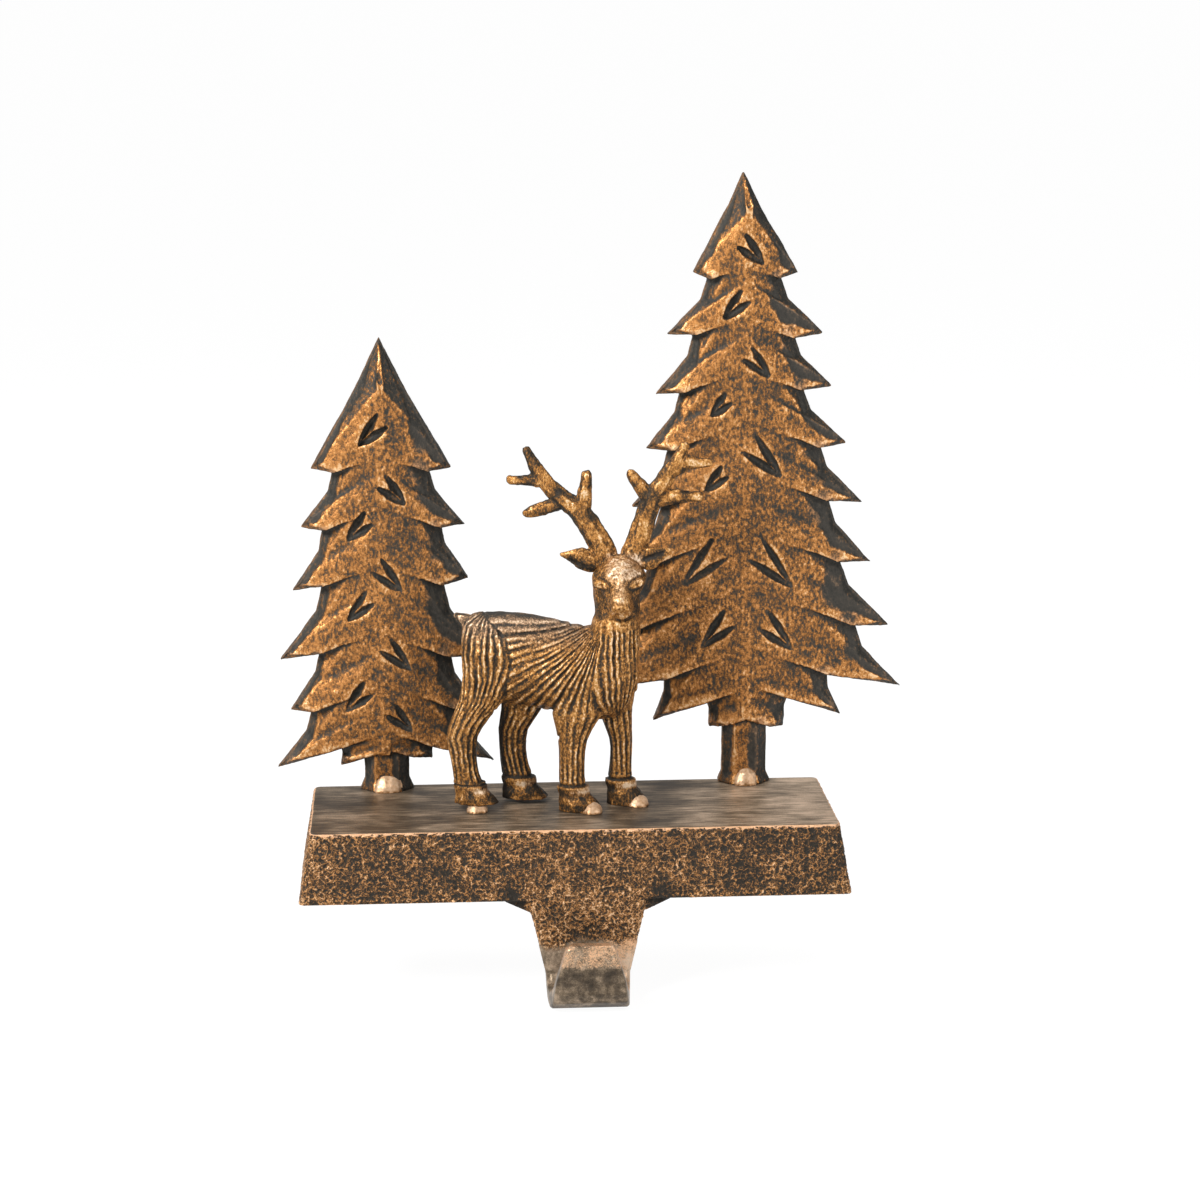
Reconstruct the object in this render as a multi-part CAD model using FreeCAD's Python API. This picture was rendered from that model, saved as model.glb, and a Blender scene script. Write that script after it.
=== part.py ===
import FreeCAD, Part
import math
import os
from itertools import combinations

V = FreeCAD.Vector
SAME_PLACE = 1e-6
SAME_PLANE = 1e-4

# Base casting, about the middle of its underside, which rests on the mantel.
BASE_HEIGHT = 21.6
BASE_HALF_WIDTH = 85.0
BASE_HALF_DEPTH = 30.35
BASE_DRAFT_END = 3.6
BASE_DRAFT_FRONT = 2.6
BASE_CORNER_RADIUS = 2.5
BASE_EDGE_RADIUS = 0.8
WALL = 5.0
DECK = 5.0
POCKET_DRAFT = 1.2
POCKET_RADIUS = 4.0
RIB_WIDTH = 12.0
ROOT_BLOCK_MARGIN = 3.5
ROOT_BLOCK_DEPTH = 17.0
OVERLAP = 1.0

# Hook, cast in one with the base. Its front is flush with the base's, its back lies on the mantel's front.
HOOK_X = 3.4
HOOK_ROOT_WIDTH = 37.0
HOOK_BEND_WIDTH = 26.0
HOOK_LIP_WIDTH = 14.5
HOOK_THICKNESS = 6.2
HOOK_DROP = 32.5
THROAT_WIDTH = 9.4
LIP_RISE = 12.0
LIP_LEAN = 1.6
HOOK_BEVEL = 1.3
HOOK_EMBED = 4.0
HOOK_SINK = 0.3
SHANK_TAPER = 0.9
BEND_TAPER = 0.18
BEND_STEP = 20
# Lip: (share of its rise, share of the bar's thickness, share of its width), up to its rounded end.
LIP_STATIONS = [(0.0, 1.0, 1.0), (0.55, 1.0, 1.0), (0.92, 0.86, 1.0), (1.0, 0.5, 0.94)]
GUSSET_REACH = 8.0
GUSSET_DROP = 4.4
GUSSET_EDGE = 0.6
GUSSET_SET_BACK = 1.6

# Trees. Each bough is (reach from the trunk's axis, height above the base), tip then notch below it.
TREE_SET_IN = 3.7
EDGE_THICKNESS = 2.6
BAND_THICKNESS = 5.2
BAND_WIDTH = 2.8
STEP_THICKNESS = 7.0
RIDGE_THICKNESS = 8.2
SUNK_THICKNESS = 7.9
CROWN_THICKNESS = 8.1
ELBOW_THICKNESS = 8.0
HIDDEN_THICKNESS = 4.2
HIDDEN_WIDTH = 4.4
FADE_SHARE = 0.45
FADE_DROP = 0.15
ELBOW_SHARE = 0.32
CROWN_SLOPE = 0.5
CORE_OVERLAP = 1.2
# Inner corner of the edge's band at a bough's tip, in band widths along and across the edge.
TIP_BACK = 0.5
TIP_ACROSS = 0.55
TIP_RAISE = 1.1
TIER_DROOP = 0.42
TIER_COVER = 3.0
APEX_BEVEL = 7.0
EDGE_HOLLOW = 0.07
APEX_HOLLOW = 0.015
TRUNK_WIDTH = 14.4
TRUNK_SIDE = 3.0
TRUNK_FACE = 7.6
TRUNK_DEPTH = 6.8
FOOT_FLARE = 1.5
FOOT_FLARE_HEIGHT = 3.5
FLARE_FACE = 0.6
FLARE_FRONT = 0.7
TICK_DEPTH = 1.8
TICK_WIDTH = 2.7
TICK_STEEP = 58.0
TICK_SHALLOW = 33.0
TICK_RATIO = 0.9
TICK_OVERRUN = 0.6
TICK_SINK = 0.25
# Stations of a nick from its outer tip: (share of its length, share of its width).
TICK_STATIONS = [(0.28, 0.85), (0.55, 1.0)]

SMALL_TREE_INSET = 27.2
SMALL_APEX = (-0.3, 145.3)
SMALL_LEFT = [((22.3, 104.0), (15.0, 103.0)), ((25.9, 85.4), (18.4, 84.8)),
              ((28.8, 65.1), (18.9, 66.8)), ((33.3, 42.7), (20.4, 45.1)),
              ((30.3, 26.3), (22.9, 26.2)), ((35.2, 7.3), (14.5, 14.0)),
              ((14.9, 7.5), (7.7, 10.6))]
SMALL_RIGHT = [((21.7, 103.9), (14.1, 103.1)), ((25.8, 85.6), (18.2, 85.2)),
               ((27.1, 68.2), (18.2, 66.8)), ((32.5, 43.0), (20.5, 43.4)),
               ((29.8, 26.0), (22.0, 26.4)), ((34.5, 8.2), (15.1, 14.0)),
               ((14.7, 9.4), (8.1, 10.9))]
# Each tick is (reach of its outer tip, negative to the left, height, length).
SMALL_TICKS = [(-7.3, 111.6, 13.6), (7.2, 92.9, 13.1), (-11.3, 81.5, 12.5), (6.0, 65.1, 14.5),
               (-11.4, 56.1, 12.5), (8.4, 39.6, 14.9), (-13.0, 26.1, 13.5), (8.6, 19.5, 13.0)]

TALL_TREE_INSET = 28.0
TALL_APEX = (-1.3, 195.5)
TALL_LEFT = [((17.3, 164.2), (11.7, 162.3)), ((25.3, 144.9), (16.0, 145.1)),
             ((28.7, 126.2), (20.2, 126.9)), ((31.7, 108.9), (23.6, 108.8)),
             ((36.6, 90.2), (25.5, 91.5)), ((40.4, 71.6), (29.3, 72.3)),
             ((46.0, 50.8), (34.0, 51.5)), ((49.5, 31.5), (25.8, 34.7)),
             ((29.8, 20.3), (12.2, 27.1)), ((11.6, 18.2), (6.5, 19.3))]
TALL_RIGHT = [((16.3, 163.9), (9.6, 162.5)), ((24.2, 144.9), (14.3, 143.8)),
              ((27.1, 128.2), (16.9, 127.3)), ((32.1, 110.0), (22.5, 109.3)),
              ((37.3, 90.9), (25.5, 92.1)), ((40.4, 71.6), (29.3, 72.3)),
              ((46.5, 50.8), (34.4, 51.5)), ((50.6, 30.7), (26.5, 35.5)),
              ((31.4, 21.5), (14.2, 27.8)), ((12.9, 18.0), (8.0, 18.7))]
TALL_TICKS = [(4.6, 167.2, 12.5), (-7.9, 150.2, 12.2), (7.0, 131.8, 13.3), (-11.6, 119.7, 9.6),
              (10.9, 100.1, 18.9), (-13.3, 95.7, 11.0), (-20.6, 65.1, 21.7), (14.8, 64.6, 22.0),
              (-14.7, 45.2, 17.2), (15.2, 44.0, 17.6)]

# Deer, in its own frame: X along the body to the chest, Y away from the viewer, Z above the base.
DEER_X = -6.3
DEER_Y = -0.15
DEER_TURN = -7.0
HIND_LIFT = 2.2
FAR_HIND_LIFT = 1.2
FUR_DEPTH = 0.6
FUR_WIDTH = 0.7
FUR_PITCH = 3.0
FAN_CENTRE = (16.5, 59.3)
FAN_START = 186.0
FAN_END = 262.0
FAN_STEP = 9.0
FAN_CLEAR = 5.0
FAN_LENGTH = 40.0
HAUNCH_EDGE = -13.5
HAUNCH_LEAN = 2.0
COLUMN_GAP = 0.6
COLUMN_LEAN = 0.4
COLUMN_TOP = 60.0
COLUMN_FOOT = 32.5
SLAB_DEPTH = 30.0
BODY_CORNERS = 16
LIMB_CORNERS = 12
TUBE_CORNERS = 8
RINGS_PER_STATION = 2
# Barrel: (place along the body, top, underside, half width).
BARREL = [(-27.2, 57.5, 42.0, 4.5), (-25.4, 60.5, 37.0, 7.6), (-20.0, 62.0, 33.5, 9.8),
          (-10.0, 61.6, 33.0, 10.2), (0.0, 60.0, 31.2, 10.0), (9.0, 58.0, 29.0, 9.8),
          (17.0, 57.8, 28.6, 9.4), (23.0, 58.6, 31.0, 8.0), (27.0, 57.5, 38.0, 5.0)]
# Neck and legs: (height, rear edge, front edge, half thickness).
NECK = [(50.0, 11.0, 27.4, 8.4), (57.0, 12.4, 27.9, 7.8), (62.0, 13.4, 27.9, 6.9),
        (68.0, 13.3, 27.6, 6.2), (74.0, 14.4, 27.6, 5.6), (78.0, 16.5, 26.8, 4.4)]
HIND_LEG = [(50.0, -26.0, -12.0, 4.0), (42.0, -26.8, -11.5, 4.9), (35.0, -28.0, -14.5, 5.0),
            (29.5, -30.4, -18.8, 4.6), (23.5, -32.2, -22.5, 4.1), (16.5, -31.0, -22.9, 3.6),
            (11.5, -30.2, -22.3, 3.5), (7.6, -29.8, -20.6, 3.8)]
FAR_HIND_LEG = [(44.0, -17.0, -2.0, 4.6), (36.0, -16.2, -1.4, 4.9), (30.0, -15.9, -3.4, 4.7),
                (23.5, -16.9, -7.6, 4.1), (16.5, -16.6, -8.3, 3.6), (11.5, -16.1, -7.6, 3.5),
                (7.6, -15.7, -6.0, 3.8)]
FORE_LEG = [(44.0, 1.5, 19.0, 4.4), (34.0, 0.6, 17.6, 4.8), (28.5, 1.4, 14.6, 4.5),
            (22.5, 2.6, 11.6, 3.9), (15.9, 2.9, 10.8, 3.6), (10.4, 2.9, 10.8, 3.6),
            (7.6, 2.7, 11.5, 3.9)]
FAR_FORE_LEG = [(44.0, 14.0, 27.0, 4.2), (34.0, 14.6, 25.6, 4.6), (28.5, 15.4, 25.1, 4.4),
                (21.0, 18.0, 25.2, 3.9), (15.5, 18.3, 25.0, 3.6), (10.4, 17.8, 24.9, 3.6),
                (7.6, 17.2, 25.6, 3.9)]
HIND_SPREAD = 5.2
FORE_SPREAD = 4.4
HOOF_CUFF = 0.6
HOOF_REACH = 4.6
HOOF_HALF_WIDTH = 4.6
# Rows of a hoof: (height, share of the sole's lift, shares of its reach and cuff, and its pinch in width).
HOOF_ROWS = [(7.9, 0.5, 0.0, 1.0, 0.3), (5.2, 0.5, 0.12, 0.0, 0.5), (2.6, 0.7, 0.34, 0.0, 0.0),
             (0.0, 1.0, 0.5, 0.0, 0.0)]

# Head: places along its axis from the crown to the nose, with half width and half depth.
HEAD_CROWN = (21.8, 3.0, 77.4)
HEAD_NOSE = (22.4, -12.2, 64.6)
HEAD = [(0.0, 5.2, 4.4), (0.16, 6.6, 5.8), (0.36, 7.3, 6.2), (0.55, 6.0, 5.6),
        (0.74, 4.4, 4.5), (0.9, 3.9, 3.8), (1.0, 2.9, 2.8)]
EYE_PLACE = (5.6, -5.5, 72.6)
EYE_RADIUS = 1.7
KNOB_STEP = 30
EAR_LEFT = [(17.0, 1.0, 77.6), (9.4, 0.2, 79.4), (3.4, 0.4, 80.2)]
EAR_RIGHT = [(26.6, 1.0, 77.6), (31.6, 0.2, 79.8), (37.2, 0.4, 82.0)]
EAR_HALF_HEIGHTS = [1.7, 3.3, 0.7]
EAR_HALF_DEPTHS = [1.6, 1.9, 0.6]
TAIL = [(-22.0, 0.0, 57.2), (-26.4, 0.0, 59.4), (-29.4, 0.0, 60.9)]
TAIL_RADII = [2.6, 1.9, 0.8]
# Antlers: beam, then tines, as places (along, away, height) with radii.
ANTLER_DEPTH = 2.0
ANTLER_FLATNESS = 0.86
TIP_LENGTH = 0.6
TIP_WIDTH = 0.45
ANTLERS = [
    ([(18.7, 76.4), (16.9, 80.5), (14.4, 85.6), (11.4, 90.4), (8.3, 94.4), (4.0, 97.2), (-0.9, 102.2),
      (-4.6, 107.4), (-7.6, 113.0)], [3.0, 3.8, 3.6, 3.5, 3.4, 3.0, 2.5, 2.2, 1.5]),
    ([(10.2, 94.5), (10.9, 100.0), (11.5, 105.6)], [2.6, 2.4, 1.6]),
    ([(4.0, 96.4), (-2.4, 94.2), (-8.0, 92.7)], [2.3, 2.1, 1.5]),
    ([(-1.6, 103.2), (-7.0, 103.0), (-12.4, 103.2)], [2.3, 2.0, 1.5]),
    ([(24.2, 76.4), (25.6, 80.5), (27.6, 86.0), (29.6, 92.4), (31.8, 98.2), (35.4, 103.8), (39.2, 109.6),
      (41.8, 114.6)], [3.0, 3.9, 3.5, 3.3, 3.2, 2.8, 2.3, 1.4]),
    ([(30.8, 97.6), (27.8, 101.8), (24.6, 105.9)], [2.7, 2.3, 1.4]),
    ([(36.4, 106.0), (42.4, 109.2), (49.4, 108.8)], [2.5, 2.3, 1.4]),
    ([(31.6, 97.0), (39.0, 98.6), (46.2, 98.4)], [2.5, 2.2, 1.5]),
]

# Weld beads: (half length, half depth, height) of each lump, and how far it stands off its piece.
TALL_TREE_BEAD = (4.2, 3.4, 6.2)
SMALL_TREE_BEAD = (4.9, 3.4, 6.0)
HOOF_BEAD = (3.5, 3.2, 3.3)
HIND_BEAD_REACH = -2.0
FORE_BEAD_REACH = 1.5
BEAD_EMBED = 1.4
BEAD_LEAN = 0.4
# Rows of a lump: (share of its height, share of its width, sideways shift in half lengths).
BEAD_ROWS = [(0.0, 1.0, 0.0), (0.3, 0.96, 0.05), (0.62, 0.8, 0.08), (0.86, 0.54, 0.04), (1.0, 0.2, 0.0)]

HOOK_BACK = HOOK_THICKNESS - BASE_HALF_DEPTH
TREE_BACK = BASE_HALF_DEPTH - TREE_SET_IN
SMALL_TREE_X = SMALL_TREE_INSET - BASE_HALF_WIDTH
TALL_TREE_X = BASE_HALF_WIDTH - TALL_TREE_INSET


def polygon_face(points):
    return Part.Face(Part.makePolygon(points + [points[0]]))


def hull(points):
    """The convex solid around a few points: every plane through three of them with the rest on one side."""
    centre = V()
    for point in points:
        centre = centre + point
    centre = centre * (1.0 / len(points))
    faces = {}
    for triple in combinations(points, 3):
        normal = (triple[1] - triple[0]).cross(triple[2] - triple[0])
        if normal.Length < SAME_PLACE:
            continue
        normal.normalize()
        if normal.dot(centre - triple[0]) > 0:
            normal = normal * -1
        if any(normal.dot(point - triple[0]) > SAME_PLACE for point in points):
            continue
        key = tuple(round(value, 4) for value in (*normal, normal.dot(triple[0])))
        faces.setdefault(key, (normal, triple[0]))
    built = []
    for normal, anchor in faces.values():
        flat = [point for point in points if abs(normal.dot(point - anchor)) < SAME_PLANE]
        built.append(polygon_face(flat_ring(flat, normal)))
    return Part.Solid(Part.Shell(built))


def flat_ring(points, normal):
    """The outer corners of a flat set of points, in order round its middle."""
    middle = V()
    for point in points:
        middle = middle + point
    middle = middle * (1.0 / len(points))
    along = (points[0] - middle).normalize()
    across = normal.cross(along)
    keyed = {(round(point.dot(along), 6), round(point.dot(across), 6)): point for point in points}
    places = sorted(keyed.items())

    def half(items):
        chain = []
        for place, point in items:
            while len(chain) > 1:
                (ax, ay), (bx, by) = chain[-2][0], chain[-1][0]
                if (bx - ax) * (place[1] - ay) - (by - ay) * (place[0] - ax) > SAME_PLACE:
                    break
                chain.pop()
            chain.append((place, point))
        return chain[:-1]

    return [point for place, point in half(places) + half(places[::-1])]


def fused(shapes):
    joined = shapes[0].multiFuse(shapes[1:]).removeSplitter()
    solids = joined.Solids
    return solids[0] if len(solids) == 1 else Part.makeCompound(solids)


def drafted_block(low, high, base_z, height, inset_x, inset_y):
    """A block between two corners in plan, whose walls lean in by the insets over its height."""
    (x0, y0), (x1, y1) = low, high
    foot = [V(x0, y0, base_z), V(x1, y0, base_z), V(x1, y1, base_z), V(x0, y1, base_z)]
    head = [V(x0 + inset_x, y0 + inset_y, base_z + height), V(x1 - inset_x, y0 + inset_y, base_z + height),
            V(x1 - inset_x, y1 - inset_y, base_z + height), V(x0 + inset_x, y1 - inset_y, base_z + height)]
    return hull(foot + head)


def upright_edges(block):
    return [edge for edge in block.Edges if abs(edge.Vertexes[0].Z - edge.Vertexes[1].Z) > SAME_PLANE]


def pocket(x0, x1):
    """One of the two hollows under the base, with drafted walls and round corners."""
    y1 = BASE_HALF_DEPTH - WALL
    y0 = -y1
    block = drafted_block((x0, y0), (x1, y1), 0.0, BASE_HEIGHT - DECK, POCKET_DRAFT, BASE_DRAFT_FRONT)
    rounded = block.makeFillet(POCKET_RADIUS, upright_edges(block))
    mouth = drafted_block((x0, y0), (x1, y1), -OVERLAP, OVERLAP, 0.0, 0.0)
    mouth = mouth.makeFillet(POCKET_RADIUS, upright_edges(mouth))
    return rounded.fuse(mouth)


def base_shell():
    block = drafted_block((-BASE_HALF_WIDTH, -BASE_HALF_DEPTH), (BASE_HALF_WIDTH, BASE_HALF_DEPTH), 0.0,
                          BASE_HEIGHT, BASE_DRAFT_END, BASE_DRAFT_FRONT)
    block = block.makeFillet(BASE_CORNER_RADIUS, upright_edges(block))
    rim = [edge for edge in block.Edges
           if all(abs(vertex.Z - BASE_HEIGHT) < SAME_PLACE for vertex in edge.Vertexes)]
    block = block.makeFillet(BASE_EDGE_RADIUS, rim)
    inner_end = BASE_HALF_WIDTH - WALL - BASE_DRAFT_END
    left = pocket(-inner_end, -RIB_WIDTH / 2)
    right = pocket(RIB_WIDTH / 2, inner_end)
    shell = block.cut(left).cut(right)
    block_width = HOOK_ROOT_WIDTH + 2 * ROOT_BLOCK_MARGIN
    root = Part.makeBox(block_width, ROOT_BLOCK_DEPTH - WALL + OVERLAP, BASE_HEIGHT - DECK + OVERLAP,
                        V(HOOK_X - block_width / 2, WALL - OVERLAP - BASE_HALF_DEPTH, 0.0))
    return shell.fuse(root)


def hook_section(place, half_width, normal, thickness):
    """The corners of a flat bar's section, with wide bevels on its front and narrow ones on its back."""
    half = thickness / 2
    corners = []
    for side in (-1, 1):
        front = [(half_width, half - HOOK_BEVEL), (half_width - HOOK_BEVEL, half)]
        back = [(half_width - HOOK_BEVEL / 2, -half), (half_width, -half + HOOK_BEVEL / 2)]
        if side < 0:
            corners += [(-x, depth) for x, depth in back + front]
        else:
            corners += front[::-1] + back[::-1]
    return [place + V(x, 0, 0) + normal * depth for x, depth in corners]


def hook():
    """The hook as a bar that tapers down the shank, round the bend and up the lip."""
    bend_radius = (THROAT_WIDTH + HOOK_THICKNESS) / 2
    shank_y = HOOK_BACK - HOOK_THICKNESS / 2
    bend_y = shank_y - bend_radius
    bend_z = -HOOK_DROP + HOOK_THICKNESS / 2 + bend_radius
    front = V(0, -1, 0)
    lean = BASE_DRAFT_FRONT * HOOK_EMBED / BASE_HEIGHT + HOOK_SINK
    root = V(HOOK_X, shank_y + lean, HOOK_EMBED)
    sections = [hook_section(root, HOOK_ROOT_WIDTH / 2, front, HOOK_THICKNESS)]
    for share in (0.0, 0.5, 1.0):
        width = HOOK_ROOT_WIDTH + (HOOK_BEND_WIDTH - HOOK_ROOT_WIDTH) * share * SHANK_TAPER
        sections.append(hook_section(V(HOOK_X, shank_y, bend_z * share), width / 2, front, HOOK_THICKNESS))
    for angle in range(BEND_STEP, 180, BEND_STEP):
        turn = math.radians(angle)
        inward = V(0, -math.cos(turn), math.sin(turn))
        place = V(HOOK_X, bend_y, bend_z) - inward * bend_radius
        share = angle / 180.0
        width = HOOK_BEND_WIDTH * (1.0 - BEND_TAPER * share ** 2)
        sections.append(hook_section(place, width / 2, inward, HOOK_THICKNESS))
    lip_y = bend_y - bend_radius
    foot_width = HOOK_BEND_WIDTH * (1.0 - BEND_TAPER)
    for share, thickness, narrowing in LIP_STATIONS:
        width = (foot_width + (HOOK_LIP_WIDTH - foot_width) * share) * narrowing
        place = V(HOOK_X, lip_y - LIP_LEAN * share, bend_z + LIP_RISE * share)
        sections.append(hook_section(place, width / 2, V(0, 1, 0), HOOK_THICKNESS * thickness))
    return skinned(sections)


def gusset():
    """The fillet between the shank's sides and the underside of the base, set behind the front face."""
    half = HOOK_ROOT_WIDTH / 2 - OVERLAP
    points = []
    for y in (GUSSET_SET_BACK - BASE_HALF_DEPTH, HOOK_BACK):
        for side in (-1, 1):
            outer = HOOK_X + side * (half + GUSSET_REACH)
            inner = HOOK_X + side * half
            points += [V(outer, y, OVERLAP), V(outer, y, -GUSSET_EDGE), V(inner, y, -GUSSET_DROP)]
    return hull(points)


def base_casting():
    return fused([base_shell(), hook(), gusset()])


def tree_point(axis_x, side, place, thickness):
    reach, height = place
    return V(axis_x + side * reach, TREE_BACK - thickness, BASE_HEIGHT + height)


def edge_inset(point, along, width):
    """The place one band's width inside the outline, square to the edge that runs along."""
    length = math.hypot(*along)
    return (point[0] + along[1] / length * width, point[1] - along[0] / length * width)


def bough(axis_x, side, start, tip, notch):
    """One bough as two convex wedges, split where its hollow outer edge turns."""
    topmost = start[0] <= TIER_COVER
    hollow = APEX_HOLLOW if topmost else EDGE_HOLLOW
    run = (tip[0] - start[0], tip[1] - start[1])
    elbow = (start[0] + ELBOW_SHARE * run[0] + hollow * run[1],
             start[1] + ELBOW_SHARE * run[1] - hollow * run[0])
    upper = (elbow[0] - start[0], elbow[1] - start[1])
    lower = (tip[0] - elbow[0], tip[1] - elbow[1])
    band = BAND_WIDTH / math.hypot(*lower)
    tip_inner = (tip[0] - band * (TIP_BACK * lower[0] - TIP_ACROSS * lower[1]),
                 tip[1] - band * TIP_RAISE * lower[1])
    elbow_inner = edge_inset(elbow, lower, BAND_WIDTH)
    start_inner = edge_inset(start, upper, HIDDEN_WIDTH)
    core = -CORE_OVERLAP
    root = (core, notch[1] + TIER_DROOP * notch[0])
    level = (core, elbow[1])
    crown = level if topmost else (core, min(elbow[1] + CROWN_SLOPE * elbow[0], start[1] + TIER_COVER))

    def column(place, *thicknesses):
        return [tree_point(axis_x, side, place, thickness) for thickness in thicknesses]

    blade = hull(column(elbow, 0, EDGE_THICKNESS) + column(tip, 0, EDGE_THICKNESS)
                 + column(notch, 0, STEP_THICKNESS) + column(root, 0, RIDGE_THICKNESS)
                 + column(crown, 0, CROWN_THICKNESS)
                 + column(elbow_inner, BAND_THICKNESS) + column(tip_inner, BAND_THICKNESS))
    corners = (column(start, 0, EDGE_THICKNESS) + column(elbow, 0, EDGE_THICKNESS)
               + column(level, 0, ELBOW_THICKNESS) + column(elbow_inner, BAND_THICKNESS))
    if not topmost:
        above = (start[0], start[1] + TIER_COVER)
        hidden = (core, start[1] + TIER_DROOP * start[0] + TIER_COVER)
        fade = (start[0] * FADE_SHARE, start[1] + TIER_DROOP * start[0] * (1 - FADE_SHARE) + TIER_COVER)
        fade_thickness = RIDGE_THICKNESS - (RIDGE_THICKNESS - STEP_THICKNESS) * FADE_SHARE - FADE_DROP
        corners += (column(above, 0, EDGE_THICKNESS) + column(hidden, 0, SUNK_THICKNESS)
                    + column(start_inner, HIDDEN_THICKNESS) + column(fade, 0, fade_thickness))
    else:
        corners += column((start[0], start[1] - APEX_BEVEL), BAND_THICKNESS)
    return [blade, hull(corners)]


def boughs(axis_x, side, apex, tiers):
    start = (apex[0] * side, apex[1])
    pieces = []
    for tip, notch in tiers:
        pieces += bough(axis_x, side, start, tip, notch)
        start = notch
    return pieces


def face_thickness(apex, spread, reach, height):
    """How thick the tree is at a place on its face, which slopes from the middle to the edge's band."""
    half_width = max(spread * (apex[1] - height), BAND_WIDTH)
    share = min(abs(reach) / half_width, 1.0)
    return RIDGE_THICKNESS - (RIDGE_THICKNESS - BAND_THICKNESS) * share


def sliver(axis_x, apex, spread, tip, angle_deg, length):
    """A long thin wedge that opens a carved nick in the tree's face. It starts a little past its tip."""
    side = 1 if tip[0] > 0 else -1
    angle = math.radians(angle_deg)
    along = (-side * math.cos(angle), math.sin(angle))
    across = (math.sin(angle), side * math.cos(angle))

    def at(run, offset, sink):
        reach = tip[0] + along[0] * run + across[0] * offset
        height = tip[1] + along[1] * run + across[1] * offset
        thickness = face_thickness(apex, spread, reach, height) - sink
        return V(axis_x + reach, TREE_BACK - thickness, BASE_HEIGHT + height)

    rim = [at(-TICK_OVERRUN, 0.0, TICK_SINK), at(length, 0.0, TICK_SINK)]
    floor = []
    for share, width in TICK_STATIONS:
        rim += [at(length * share, lip * width * TICK_WIDTH / 2, 0.0) for lip in (-1, 1)]
        floor.append(at(length * share, 0.0, TICK_DEPTH * width))
    mouth = V(0, -RIDGE_THICKNESS, 0)
    return hull(rim + [point + mouth for point in rim] + floor)


def ticks(axis_x, apex, tips, places):
    widest = max(tips, key=lambda tier: tier[0][0])[0]
    spread = widest[0] / (apex[1] - widest[1])
    cuts = []
    for reach, height, length in places:
        tip = (reach, height)
        cuts.append(sliver(axis_x, apex, spread, tip, TICK_STEEP, length))
        cuts.append(sliver(axis_x, apex, spread, tip, TICK_SHALLOW, length * TICK_RATIO))
    return cuts


def trunk(axis_x, top):
    def ring(z, spread):
        half = TRUNK_WIDTH / 2 + spread
        face = TRUNK_FACE / 2 + spread * FLARE_FACE
        front = TREE_BACK - TRUNK_DEPTH - spread * FLARE_FRONT
        side = TREE_BACK - TRUNK_SIDE
        return [V(axis_x - half, TREE_BACK, z), V(axis_x - half, side, z), V(axis_x - face, front, z),
                V(axis_x + face, front, z), V(axis_x + half, side, z), V(axis_x + half, TREE_BACK, z)]

    foot = hull(ring(BASE_HEIGHT, FOOT_FLARE) + ring(BASE_HEIGHT + FOOT_FLARE_HEIGHT, 0.0))
    stem = hull(ring(BASE_HEIGHT, 0.0) + ring(BASE_HEIGHT + top, 0.0))
    return [foot, stem]


def tree(axis_x, apex, left, right, tick_places):
    trunk_top = left[-2][1][1] + TIER_DROOP * left[-2][1][0]
    pieces = boughs(axis_x, -1, apex, left) + boughs(axis_x, 1, apex, right) + trunk(axis_x, trunk_top)
    body = fused(pieces)
    nicks = ticks(axis_x, apex, left, tick_places)
    return body.cut(nicks).removeSplitter()


def ring(centre, across, up, half_across, half_up, corners):
    """The corners of an oval's outline, whose flats lie on the oval at its four ends."""
    half_turn = math.pi / corners
    reach_across = half_across / math.cos(half_turn)
    reach_up = half_up / math.cos(half_turn)
    points = []
    for index in range(corners):
        angle = half_turn * (2 * index + 1)
        points.append(centre + across * (reach_across * math.cos(angle))
                      + up * (reach_up * math.sin(angle)))
    return points


def skinned(rings):
    """A closed solid through rings of corners, with flat triangles between them and flat ends."""
    faces = [polygon_face(rings[0][::-1]), polygon_face(rings[-1])]
    for lower, upper in zip(rings, rings[1:]):
        for index in range(len(lower)):
            after = (index + 1) % len(lower)
            faces.append(polygon_face([lower[index], lower[after], upper[after]]))
            faces.append(polygon_face([lower[index], upper[after], upper[index]]))
    solid = Part.Solid(Part.Shell(faces))
    if solid.Volume < 0:
        solid.reverse()
    return solid


def refined(stations, steps=RINGS_PER_STATION):
    """The stations with more between them, on a smooth curve through all of them."""
    last = len(stations) - 1
    rows = []
    for index in range(last):
        before, here = stations[max(index - 1, 0)], stations[index]
        there, after = stations[index + 1], stations[min(index + 2, last)]
        for step in range(steps):
            t = step / steps
            rows.append(tuple(0.5 * (2 * b + (c - a) * t + (2 * a - 5 * b + 4 * c - d) * t ** 2
                                     + (3 * b - a - 3 * c + d) * t ** 3)
                              for a, b, c, d in zip(before, here, there, after)))
    return rows + [stations[-1]]


def barrel(shrink):
    return skinned([ring(V(x, 0, (top + underside) / 2), V(0, 1, 0), V(0, 0, 1), half_width - shrink,
                         (top - underside) / 2 - shrink, BODY_CORNERS)
                    for x, top, underside, half_width in refined(BARREL)])


def upright_limb(stations, y, shrink, corners=LIMB_CORNERS):
    return skinned([ring(V((rear + front) / 2, y, height), V(1, 0, 0), V(0, 1, 0),
                         (front - rear) / 2 - shrink, half_width - shrink, corners)
                    for height, rear, front, half_width in refined(stations)])


def hoof(rear, front, y, sole):
    """A hoof with a cuff at its top, a waist and a toe that reaches forwards."""
    middle = (rear + front) / 2
    half = (front - rear) / 2
    rings = []
    for height, lift, reach, cuff, pinch in HOOF_ROWS:
        place = V(middle + HOOF_REACH * reach, y, height + sole * lift)
        rings.append(ring(place, V(1, 0, 0), V(0, 1, 0), half + HOOF_REACH * reach + HOOF_CUFF * cuff,
                          HOOF_HALF_WIDTH - pinch, LIMB_CORNERS))
    return skinned(rings)


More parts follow.
